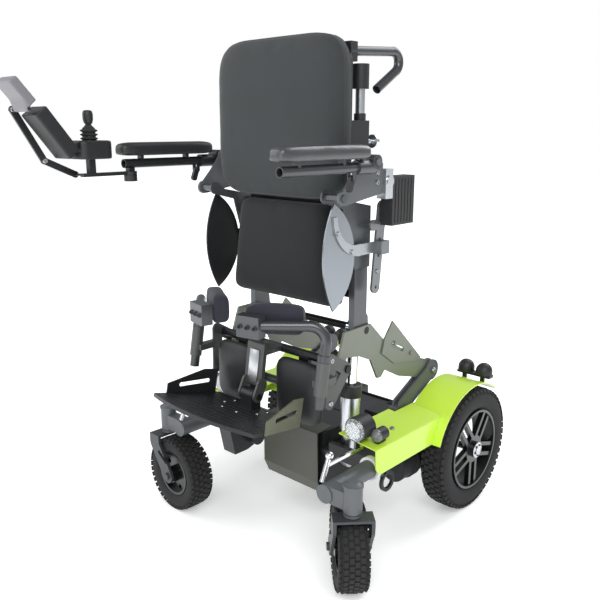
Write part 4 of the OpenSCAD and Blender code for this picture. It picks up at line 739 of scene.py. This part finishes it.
class GeometryTool:
    """Geometry node trees for what repeats."""

    @staticmethod
    def _tree(name: str, inputs: Iterable[tuple[str, str, Any]]) -> tuple[Tree, dict[str, Socket]]:
        """Start a tree with named inputs.

        Args:
            name: The tree's name.
            inputs: Name, socket kind and default of each input.

        Returns:
            The tree and the sockets of its inputs by name.
        """
        tree = bpy.data.node_groups.new(name, "GeometryNodeTree")
        tree.interface.new_socket("Geometry", in_out="INPUT", socket_type="NodeSocketGeometry")
        for label, kind, value in inputs:
            item = tree.interface.new_socket(label, in_out="INPUT", socket_type="NodeSocket" + kind)
            item.default_value = value
        tree.interface.new_socket("Geometry", in_out="OUTPUT", socket_type="NodeSocketGeometry")
        given = tree.nodes.new("NodeGroupInput")
        return tree, {socket.name: socket for socket in given.outputs if socket.name}

    @staticmethod
    def _strewn(tree: Tree, points: Any, shape: Node, finish: Finish, **values: Any) -> Tree:
        """End a tree with a shape on every point, as real geometry with a material.

        Args:
            tree: The tree.
            points: The points.
            shape: The node that gives the shape.
            finish: The shape's finish.
            **values: Further inputs of the node that lays the shapes.

        Returns:
            The tree.
        """
        put = add_node(tree, "GeometryNodeInstanceOnPoints", Points=points, Instance=shape, **values)
        real = add_node(tree, "GeometryNodeRealizeInstances", Geometry=put)
        paint = add_node(tree, "GeometryNodeSetMaterial", Geometry=real, Material=finish.material())
        add_node(tree, "NodeGroupOutput", Geometry=paint)
        return tree

    @classmethod
    def tread_row(cls) -> Tree:
        """Return the tree that lays one row of tread blocks round a tyre.

        Returns:
            The tree, made at its first use.
        """
        found = bpy.data.node_groups.get("tread_row")
        if found is not None:
            return found
        tree, given = cls._tree(
            "tread_row",
            [
                ("Count", "Int", 40),
                ("Radius", "Float", 0.1),
                ("Offset", "Float", 0.0),
                ("Phase", "Float", 0.0),
                ("Tilt", "Float", 0.0),
                ("Block", "Vector", (0.004, 0.012, 0.012)),
            ],
        )
        ring = add_node(tree, "GeometryNodeMeshCircle", Vertices=given["Count"], Radius=given["Radius"])
        turn = add_node(tree, "ShaderNodeCombineXYZ", Z=given["Phase"])
        lift = add_node(tree, "ShaderNodeCombineXYZ", Z=given["Offset"])
        move = add_node(tree, "GeometryNodeTransform", Geometry=ring, Translation=lift, Rotation=turn)
        cube = add_node(tree, "GeometryNodeMeshCube", Size=given["Block"])
        where = add_node(tree, "GeometryNodeInputPosition")
        split = add_node(tree, "ShaderNodeSeparateXYZ", Vector=where)
        angle = reckon(tree, "ARCTAN2", split.outputs["Y"], split.outputs["X"])
        aim = add_node(tree, "ShaderNodeCombineXYZ", Y=given["Tilt"], Z=angle)
        return cls._strewn(tree, move, cube, TYRE, Rotation=aim)

    @classmethod
    def bolt_field(cls, finish: Finish) -> Tree:
        """Return the tree that puts a socket head on every point.

        Args:
            finish: The finish of the heads.

        Returns:
            The tree, made at its first use for that finish.
        """
        name = "bolts_" + finish.name
        found = bpy.data.node_groups.get(name)
        if found is not None:
            return found
        tree, given = cls._tree(name, [("Radius", "Float", 0.005), ("Height", "Float", 0.003)])
        radius, height = given["Radius"], given["Height"]
        head = add_node(
            tree,
            "GeometryNodeMeshCone",
            Vertices=24,
            Radius_Bottom=radius,
            Radius_Top=reckon(tree, "MULTIPLY", radius, HEAD_TAPER),
            Depth=height,
        )
        hexagon = add_node(
            tree,
            "GeometryNodeMeshCylinder",
            Vertices=6,
            Radius=reckon(tree, "MULTIPLY", radius, SOCKET_SHARE),
            Depth=height,
        )
        lift = add_node(tree, "ShaderNodeCombineXYZ", Z=height)
        up = add_node(tree, "GeometryNodeTransform", Geometry=hexagon, Translation=lift)
        cut = add_node(tree, "GeometryNodeMeshBoolean")
        cut.operation = "DIFFERENCE"
        feed(tree, cut.inputs["Mesh 1"], head)
        feed(tree, cut.inputs["Mesh 2"], up)
        axis = add_node(tree, "GeometryNodeInputNamedAttribute", Name="aim")
        axis.data_type = "FLOAT_VECTOR"
        aim = add_node(tree, "FunctionNodeAlignRotationToVector", Vector=axis.outputs["Attribute"])
        aim.axis = "Z"
        return cls._strewn(tree, given["Geometry"], cut, finish, Rotation=aim)

    @classmethod
    def lenslets(cls) -> Tree:
        """Return the tree that puts a clear dome on every point.

        Returns:
            The tree, made at its first use.
        """
        found = bpy.data.node_groups.get("lenslets")
        if found is not None:
            return found
        tree, given = cls._tree("lenslets", [("Radius", "Float", 0.004)])
        dome = add_node(tree, "GeometryNodeMeshIcoSphere", Subdivisions=3, Radius=given["Radius"])
        return cls._strewn(tree, given["Geometry"], dome, LED_LENS, Scale=(1.0, 0.45, 1.0))

    @staticmethod
    def run(obj: Piece, tree: Tree, **values: Any) -> None:
        """Run a tree on an object and keep the result as a plain mesh.

        Args:
            obj: The object.
            tree: The tree.
            **values: Input values by name.
        """
        modifier = obj.modifiers.new(tree.name, "NODES")
        modifier.node_group = tree
        for item in tree.interface.items_tree:
            if item.in_out == "INPUT" and item.name in values:
                modifier[item.identifier] = values[item.name]
        obj.update_tag()
        bpy.context.view_layer.update()
        baked(obj)


@dataclass
class SubAssembly:
    """Pieces that are made and dressed together.

    Attributes:
        label: The sub-assembly's name.
        made: The pieces built so far.
    """

    label: str
    made: list[Piece] = field(default_factory=list)

    def build(self) -> None:
        """Make the sub-assembly's own pieces."""

    def dress(self) -> None:
        """Give the sub-assembly's pieces their last finish."""

    def keep(self, obj: Piece, body: str, finish: Finish | None, slot: str) -> None:
        """Hang a finished piece on its body.

        Args:
            obj: The piece.
            body: The body that carries it.
            finish: Its finish, or None if its mesh has one.
            slot: A material slot name, not used.
        """
        if finish is not None:
            obj.data.materials.clear()
            obj.data.materials.append(finish.material())
        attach(obj, body)
        self.made.append(obj)
        LOG.info("%s: %s rides %s, %d faces", self.label, obj.name, body, len(obj.data.polygons))


@dataclass
class FrameParts(SubAssembly):
    """The CAD nodes that keep their own mesh."""

    label: str = "frame"

    def dress(self) -> None:
        """Give every CAD node its finish."""
        for finish, names in FINISHED_NODES.items():
            for name in names.split():
                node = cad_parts[name]
                node.data.materials.clear()
                node.data.materials.append(finish.material())
                LOG.info("%s: %s in %s", self.label, name, finish.name)


@dataclass
class SolidPiece(SubAssembly):
    """A piece made from its plain CAD solid.

    Attributes:
        node: The plain solid it stands for.
        body: The body that carries it.
        slot: Its material slot.
        finish: Its finish.
        cell_mm: Mesh size.
        rounds: How often its edges are eased.
    """

    label: str = "moulding"
    node: str = ""
    body: str = ""
    slot: str = "black_moulding"
    finish: Finish = BLACK_PLASTIC
    cell_mm: float = 1.5
    rounds: int = 30


@dataclass
class Moulding(SolidPiece):
    """A moulded case with rounded edges."""

    def build(self) -> None:
        """Copy the solid, ease its edges and keep it."""
        obj = solid_copy(self.node, self.node + "_case", self.cell_mm)
        eased(obj, self.rounds)
        self.keep(obj, self.body, self.finish, self.slot)
        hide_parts(self.node)


@dataclass
class Cushion(SolidPiece):
    """A stuffed pad, pumped up.

    Attributes:
        swell_mm: How far the cover may move.
        fill: How full the pad is.
        seams: Where welts run round the cover, as shares of its depth from the back.
    """

    label: str = "cushion"
    slot: str = "cover_fabric"
    finish: Finish = FABRIC
    cell_mm: float = 6.0
    rounds: int = 6
    swell_mm: float = 4.0
    fill: float = 0.6
    seams: tuple[float, ...] = ()

    def build(self) -> None:
        """Copy the solid, pump it up and keep it."""
        obj = solid_copy(self.node, self.node + "_cover", self.cell_mm)
        self._pump(obj)
        eased(obj, self.rounds, finer=True)
        self.keep(obj, self.body, self.finish, self.slot)
        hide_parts(self.node)
        for share in self.seams:
            self._welt(obj, share)

    def _welt(self, cover: Piece, share: float) -> None:
        """Run a welt round the cover.

        Args:
            cover: The finished cover.
            share: Where the welt runs, as a share of the depth from the back.
        """
        low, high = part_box(self.node)
        mid, half = (low + high) / 2, (high - low) / 2
        y = high.y - share * 2 * half.y
        path = []
        for k in range(WELT_STEPS):
            a = 2 * math.pi * k / WELT_STEPS
            x = math.copysign(abs(math.cos(a)) ** WELT_CORNER, math.cos(a))
            z = math.copysign(abs(math.sin(a)) ** WELT_CORNER, math.sin(a))
            start = Vector((mid.x + x * half.x * 1.02, y, mid.z + z * half.z * 1.02))
            found, at, normal, _ = cover.closest_point_on_mesh(start)
            if found:
                path.append(at - normal * WELT_SINK)
        welt = loop_tube(f"{self.node}_welt_{int(share * 100)}", path, WELT_R, 8)
        smooth(welt, 60)
        self.keep(welt, self.body, self.finish, self.slot)

    def _pump(self, obj: Piece) -> None:
        """Pump the cover up and cap how far it moves.

        Args:
            obj: The remeshed cover.
        """
        drawn_in = [v.co - v.normal * self.swell_mm * MM * DRAWN_IN for v in obj.data.vertices]
        for v, at in zip(obj.data.vertices, drawn_in):
            v.co = at
        rest = [v.co.copy() for v in obj.data.vertices]
        cloth = obj.modifiers.new("cloth", "CLOTH")
        cloth.settings.quality = 4
        cloth.settings.use_pressure = True
        cloth.settings.uniform_pressure_force = 4.0
        cloth.settings.effector_weights.gravity = 0.0
        scene = bpy.context.scene
        for step in range(1, PUMP_STEPS + 1):
            scene.frame_set(step)
        baked(obj)
        scene.frame_set(1)
        for v, start in zip(obj.data.vertices, rest):
            move = v.co - start
            if move.length > self.swell_mm * MM:
                v.co = start + move.normalized() * self.swell_mm * MM


@dataclass
class Tyre(SubAssembly):
    """A tyre with a moulded tread.

    Attributes:
        node: The plain ring it stands for.
        body: The wheel that carries it.
        radius: Over the tread.
        width: Over the sidewalls.
        bore: The seat on the rim.
        deep: Depth of the tread.
        rows: Offset share, tilt in degrees, phase share and block size in mm of each row.
        count: Blocks in a row.
    """

    label: str = "tyre"
    node: str = ""
    body: str = ""
    radius: float = 0.178
    width: float = 0.076
    bore: float = 0.116
    deep: float = 0.005
    rows: tuple[tuple[float, float, float, Point], ...] = ()
    count: int = 52

    def build(self) -> None:
        """Turn the casing and lay the tread on it."""
        place = facing(*ring_frame(self.node))
        half = self.width / 2
        parts = [turned(self.node + "_casing", self._section(), place, 96, 50)]
        for share, tilt, phase, size in self.rows:
            row = link_mesh(self.node + "_row", [(0, 0, 0)], [])
            GeometryTool.run(
                row,
                GeometryTool.tread_row(),
                Count=self.count,
                Radius=self.radius - size[0] * MM / 2 - abs(share) ** 3 * self.deep * 2.2,
                Offset=share * half,
                Phase=phase * 2 * math.pi / self.count,
                Tilt=math.radians(tilt),
                Block=tuple(edge * MM for edge in size),
            )
            row.data.transform(place)
            parts.append(row)
        tyre = joined(self.node + "_treaded", parts)
        smooth(tyre, 40)
        self.keep(tyre, self.body, TYRE, "tyre_rubber")
        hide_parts(self.node)

    def _section(self) -> list[tuple[float, float]]:
        """Draw the casing's section.

        Returns:
            Radius and height of its points in mm, from one bead over the crown to the other.
        """
        half = self.width / 2
        crown = self.radius - self.deep
        bead = [(self.bore + 0.0005, half * 0.72), (self.bore + 0.004, half * 0.8)]
        points = [(r, -z) for r, z in bead]
        for i in range(CASING_STEPS + 1):
            a = math.pi * (i / CASING_STEPS - 0.5)
            pinch = 0.99 if 0 < i < CASING_STEPS else 0.96
            rise = (crown - self.bore - WALL_FOOT) * math.cos(a) ** 0.42
            reach = half * math.copysign(abs(math.sin(a)) ** 0.55, a)
            points.append((self.bore + WALL_FOOT + rise, reach * pinch))
        return [(r / MM, z / MM) for r, z in points + bead[::-1]]


@dataclass
class Bolts(SubAssembly):
    """Socket heads of one size on one body.

    Attributes:
        body: The body that carries them.
        points: Where each head sits and which way it faces, in mm on the row frame.
        radius_mm: Head radius.
        height_mm: Head height.
        finish: Their finish.
    """

    label: str = "bolts"
    body: str = ""
    points: Sequence[Head] = ()
    radius_mm: float = 5.0
    height_mm: float = 3.0
    finish: Finish = BLACK_OXIDE

    def build(self) -> None:
        """Scatter the heads and keep them as one piece."""
        obj = link_mesh(self.label, [tuple(c * MM for c in at) for at, _ in self.points], [])
        aim = obj.data.attributes.new("aim", "FLOAT_VECTOR", "POINT")
        for i, (_, way) in enumerate(self.points):
            aim.data[i].vector = Vector(way).normalized()
        GeometryTool.run(
            obj,
            GeometryTool.bolt_field(self.finish),
            Radius=self.radius_mm * MM,
            Height=self.height_mm * MM,
        )
        smooth(obj, 30)
        self.keep(obj, self.body, None, "bright_alloy")


@dataclass
class Wheels(SubAssembly):
    """Bright hub caps and rim edges of the drive wheels."""

    label: str = "wheels"

    def build(self) -> None:
        """Turn a cap and a rim edge for each drive wheel."""
        for way, name in SIDES:
            centre, _ = ring_frame(name + "_tyre")
            face = facing(centre, (way, 0, 0))
            self.keep(disc(name + "_hub_cap", HUB_CAP, face), name + "_drive", ALLOY_BRIGHT, "bright_alloy")
            edge = turned(name + "_rim_edge", RIM_EDGE, face, 96)
            self.keep(edge, name + "_drive", ALLOY_BLACK, "black_alloy")


@dataclass
class Lamps(SubAssembly):
    """Reflectors and lenslets of the headlights, and the indicators' lenses."""

    label: str = "lamps"

    def build(self) -> None:
        """Fill both headlights and cap both indicators."""
        for s, name in SIDES:
            front = facing(on_side(s, (HEADLIGHT_X, HEADLIGHT_Y, HEADLIGHT_Z)), (0, -1, 0))
            self.keep(disc(name + "_reflector", BOWL, front), "base", REFLECTOR, "chrome")
            points = []
            for i in range(-3, 4):
                for j in range(-3, 4):
                    x, z = LENSLET_ACROSS * (i + (j % 2) / 2), LENSLET_UP * j
                    if math.hypot(x, z) < LENSLET_REACH:
                        points.append((s * HEADLIGHT_X + x, LENSLET_Y, HEADLIGHT_Z + z))
            domes = link_mesh(name + "_lenslets", [Vector(q) * MM for q in points], [])
            GeometryTool.run(domes, GeometryTool.lenslets(), Radius=LENSLET_R)
            smooth(domes, 60)
            self.keep(domes, "base", None, "clear_lens")
            winker = facing(on_side(s, INDICATOR), (0, -1, 0))
            cap = disc(name + "_indicator_lens", INDICATOR_CAP, winker)
            self.keep(cap, "base", SMOKED, "clear_lens")


@dataclass
class Trim(SubAssembly):
    """Small bright, pale and black fittings seen in the photograph."""

    label: str = "trim"

    def build(self) -> None:
        """Make the column's strap, the white bushes, the actuator's gland and the stick's grip."""
        top = Vector(COLUMN_TOP) * MM
        down = (Vector(COLUMN_LOW) * MM - top).normalized()
        out = Vector((0, down.z, -down.y))
        middle = top + down * STRAP_ALONG + out * STRAP_OUT
        turn = Matrix((Vector((1, 0, 0)), out, down)).transposed().to_4x4()
        strap = block("column_strap", STRAP_SIZE, Matrix.Translation(middle) @ turn, 1.2)
        self.keep(strap, "leg", ALLOY_BRIGHT, "bright_alloy")
        for s, name in SIDES:
            stem = facing(on_side(s, ARM_BUSH), (0, 1, 0))
            self.keep(turned(name + "_arm_bush", BUSH, stem), "base", WHITE_PLASTIC, "grey_moulding")
        foot = Vector(ACTUATOR_FOOT) * MM
        barrel = facing(foot, (Vector(ACTUATOR_EYE) * MM - foot).normalized())
        self.keep(turned("actuator_gland", GLAND, barrel), "actuator", BLACK_PLASTIC, "black_moulding")
        place = Matrix.Translation(Vector(STICK_FOOT) * MM)
        self.keep(disc("stick_grip", GRIP, place), "stick", BLACK_PLASTIC, "black_moulding")
        folds = [(17.5, 1047.0)]
        for low in (1047.0, 1056.0, 1065.0):
            folds += [(r, low + z) for r, z in FOLD]
        folds += [(9.0, 1077.5), (6.2, 1081.5), (5.4, 1081.5), (5.4, 1047.0)]
        bellows = turned("stick_bellows", folds, place, degrees=50)
        self.keep(bellows, "stick", TYRE, "black_moulding")


@dataclass
class Studio:
    """Pale floor, white background, soft light and the photograph's camera.

    Attributes:
        eye: Where the camera stands.
        lens_mm: Focal length on a 36 mm sensor.
        turn_deg: Camera turn about Z.
        tip_deg: Camera tip from straight down.
    """

    eye: Point = (1.234, -1.2955, 1.072)
    lens_mm: float = 42.29
    turn_deg: float = 42.82
    tip_deg: float = 76.32

    def build(self) -> None:
        """Build the floor, the world, the lights and the camera."""
        self._world()
        self._floor()
        self._light("key", (2.6, -2.2, 3.4), 2.4, 120.0)
        self._light("fill", (-2.8, -2.0, 2.4), 3.0, 60.0)
        self._light("rim", (0.4, 3.0, 3.0), 2.6, 70.0)
        self._light("front", (0.6, -3.6, 1.6), 2.4, 35.0)
        camera = bpy.data.cameras.new("photo_camera")
        camera.lens = self.lens_mm
        camera.sensor_width = 36.0
        camera.clip_start = 0.01
        eye = bpy.data.objects.new("photo_camera", camera)
        eye.location = self.eye
        eye.rotation_euler = (math.radians(self.tip_deg), 0.0, math.radians(self.turn_deg))
        scene = bpy.context.scene
        scene.collection.objects.link(eye)
        scene.camera = eye
        scene.view_settings.view_transform = "Standard"

    def _world(self) -> None:
        """Make a world that looks white and lights softly."""
        world = bpy.data.worlds.new("white_studio")
        bpy.context.scene.world = world
        world.use_nodes = True
        tree = world.node_tree
        tree.nodes.clear()
        seen = add_node(tree, "ShaderNodeBackground", Color=WHITE, Strength=1.0)
        soft = add_node(tree, "ShaderNodeBackground", Color=srgb("#e9edf2"), Strength=0.45)
        path = add_node(tree, "ShaderNodeLightPath")
        straight = [path.outputs["Is Camera Ray"], path.outputs["Is Transmission Ray"]]
        mix = add_node(tree, "ShaderNodeMixShader", Fac=reckon(tree, "MAXIMUM", *straight))
        feed(tree, mix.inputs[1], soft)
        feed(tree, mix.inputs[2], seen)
        add_node(tree, "ShaderNodeOutputWorld", Surface=mix)

    def _floor(self) -> None:
        """Lay a pale floor that fades into the background."""
        corners = [(FLOOR * x, FLOOR * y, 0) for x, y in ((-1, -1), (1, -1), (1, 1), (-1, 1))]
        floor = link_mesh("floor", corners, [(0, 1, 2, 3)])
        # Matt paper that glows more with distance, so that its far edge melts into the white
        paper = bpy.data.materials.new("matt_white_paper")
        paper.use_nodes = True
        tree = paper.node_tree
        tree.nodes.clear()
        shader = add_node(tree, "ShaderNodeBsdfPrincipled", Base_Color=srgb("#f7f7f7"), Roughness=0.9)
        reach = add_node(tree, "ShaderNodeVectorMath")
        reach.operation = "LENGTH"
        feed(tree, reach.inputs[0], add_node(tree, "ShaderNodeTexCoord").outputs["Object"])
        fade = add_node(
            tree,
            "ShaderNodeMapRange",
            Value=reach.outputs["Value"],
            From_Min=0.5,
            From_Max=2.4,
            To_Min=0.3,
            To_Max=1.0,
        )
        glow = add_node(tree, "ShaderNodeEmission", Color=WHITE, Strength=fade.outputs["Result"])
        both = add_node(tree, "ShaderNodeAddShader")
        feed(tree, both.inputs[0], shader)
        feed(tree, both.inputs[1], glow)
        add_node(tree, "ShaderNodeOutputMaterial", Surface=both)
        floor.data.materials.append(paper)

    @staticmethod
    def _light(name: str, at: Point, size: float, power: float) -> None:
        """Hang one soft light that faces the chair.

        Args:
            name: The light's name.
            at: Where it hangs.
            size: Edge of the light.
            power: Watts.
        """
        lamp = bpy.data.lights.new(name, "AREA")
        lamp.size = size
        lamp.energy = power
        obj = bpy.data.objects.new(name, lamp)
        obj.location = at
        way = Vector((0.0, -0.1, 0.6)) - Vector(at)
        obj.rotation_euler = way.to_track_quat("-Z", "Y").to_euler()
        bpy.context.scene.collection.objects.link(obj)


def ring_frame(node: str) -> tuple[Vector, Vector]:
    """Find a ring's centre and axis from its mesh.

    Args:
        node: The ring's node.

    Returns:
        The centre and the unit axis.
    """
    points = np.array([v.co[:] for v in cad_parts[node].data.vertices])
    low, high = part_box(node)
    centre = (np.array(low) + np.array(high)) / 2
    spread = points - centre
    weights, ways = np.linalg.eigh(spread.T @ spread)
    return Vector(centre), Vector(ways[:, int(np.argmin(weights))])


def sided(*points: Point) -> list[Head]:
    """Mirror heads that face outwards to both sides.

    Args:
        *points: Head positions on the left side, with Y on the measuring datum.

    Returns:
        Heads of both sides, each with its direction.
    """
    return [((s * x, y + SHIFT, z), (s, 0.0, 0.0)) for x, y, z in points for s, _ in SIDES]


def on_deck(*points: tuple[float, float]) -> list[Head]:
    """Place heads on the tilted footplate.

    Args:
        *points: X and the distance in front of the back edge.

    Returns:
        Heads with the deck's normal.
    """
    rise, run = math.sin(math.radians(DECK_TILT)), math.cos(math.radians(DECK_TILT))
    return [((x, DECK_Y - d * run, DECK_Z + d * rise), (0.0, rise, run)) for x, d in points]


def knee_bolts(s: float) -> list[Head]:
    """Place the heads on one knee bracket.

    Args:
        s: 1 for the left bracket and -1 for the right.

    Returns:
        Heads with their direction.
    """
    rise, run = math.sin(math.radians(KNEE_YAW)), math.cos(math.radians(KNEE_YAW))
    heads = []
    for k in (-1, 0, 1):
        x, y = k * KNEE_STEP, KNEE_FACE
        at = (s * (KNEE_X + x * run - y * rise), KNEE_Y + x * rise + y * run, KNEE_Z)
        heads.append((at, (s * rise, -run, 0.0)))
    return heads


@dataclass
class Chair:
    """The whole standing wheelchair.

    Attributes:
        parts: Its sub-assemblies, in the order in which they are made.
    """

    parts: list[SubAssembly] = field(default_factory=list)

    def __post_init__(self) -> None:
        """List the sub-assemblies."""
        self.parts.append(FrameParts())
        for _, name in SIDES:
            self.parts.append(Tyre(node=name + "_tyre", body=name + "_drive", rows=DRIVE_ROWS))
            self.parts.append(
                Tyre(
                    node=name + "_caster_tyre",
                    body=name + "_caster",
                    radius=0.107,
                    width=0.072,
                    bore=CASTER_BORE,
                    deep=0.0035,
                    rows=CASTER_ROWS,
                    count=38,
                )
            )
        self.parts += [Wheels(), Trim(), Lamps()]
        fender_tops = [((s * 262, -75 + SHIFT, 320.6), (0.1 * s, 0.0, 1.0)) for s, _ in SIDES]
        links = [((LINK_FACE, y + SHIFT, z), (1.0, 0.0, 0.0)) for y, z in ((-667, 1000), (-731, 1112))]
        slots = [(215, -98 + 4 * k, 691 + 39.2 * k) for k in (1, 4, 5)]
        screws = on_deck((-60, 26), (60, 26), (-60, 62), (60, 62), (-26, 100), (26, 100))
        for label, body, points, radius, height, finish in (
            ("lift_bolts", "base", sided((206, 204, 395)), 8.0, 4.0, ZINC),
            ("hip_bolts", "back", sided((242, -140, 972), (242, -140, 950)), 6.0, 4.0, ZINC),
            ("bracket_bolts", "seat", sided(*slots), 5.5, 4.0, ZINC),
            ("leg_bolts", "leg", sided((208, -256, 536), (208, -258, 428)), 7.0, 4.0, ZINC),
            ("left_knee_bolts", "left_knee", knee_bolts(1.0), 4.6, 2.5, BLACK_OXIDE),
            ("right_knee_bolts", "right_knee", knee_bolts(-1.0), 4.6, 2.5, BLACK_OXIDE),
            ("deck_screws", "foot", screws, 4.0, 1.6, ZINC),
            ("fender_bolts", "base", fender_tops, 7.0, 4.0, ZINC),
            ("link_bolts", "joystick", links, 6.5, 4.0, ZINC),
        ):
            self.parts.append(
                Bolts(
                    label=label,
                    body=body,
                    points=points,
                    radius_mm=radius,
                    height_mm=height,
                    finish=finish,
                )
            )
        arm = {"slot": "arm_skin", "cell_mm": 4.0, "swell_mm": 2.0}
        self.parts += [
            Moulding(node="joystick_unit", body="joystick", rounds=45),
            Moulding(node="display_head", body="display", slot="grey_moulding", finish=HEAD_GREY),
            # The seat cushion wears the darker copy of the back's knit, which is painted shade
            Cushion(node="seat_cushion", body="seat", finish=SHADED_SEAT_FABRIC),
            Cushion(node="back_cushion", body="back", seams=(0.08, 0.66)),
            Cushion(node="calf_pads", body="leg", finish=ARM_SKIN),
            Cushion(node="left_knee_pad", body="left_knee", finish=NAVY_FABRIC, cell_mm=4.0),
            Cushion(node="right_knee_pad", body="right_knee", finish=NAVY_FABRIC, cell_mm=4.0),
            Cushion(node="left_arm_pad", body="left_arm", finish=ARM_GREY, **arm),
            Cushion(node="right_arm_pad", body="right_arm", finish=ARM_SKIN, **arm),
        ]

    def build(self) -> None:
        """Make and dress every sub-assembly."""
        for part in self.parts:
            part.build()
        for part in self.parts:
            part.dress()


def main() -> None:
    """Build the chair in its studio."""
    logging.basicConfig(level=logging.INFO, format="%(message)s")
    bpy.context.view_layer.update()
    Chair().build()
    Studio().build()


if __name__ == "__main__":
    main()
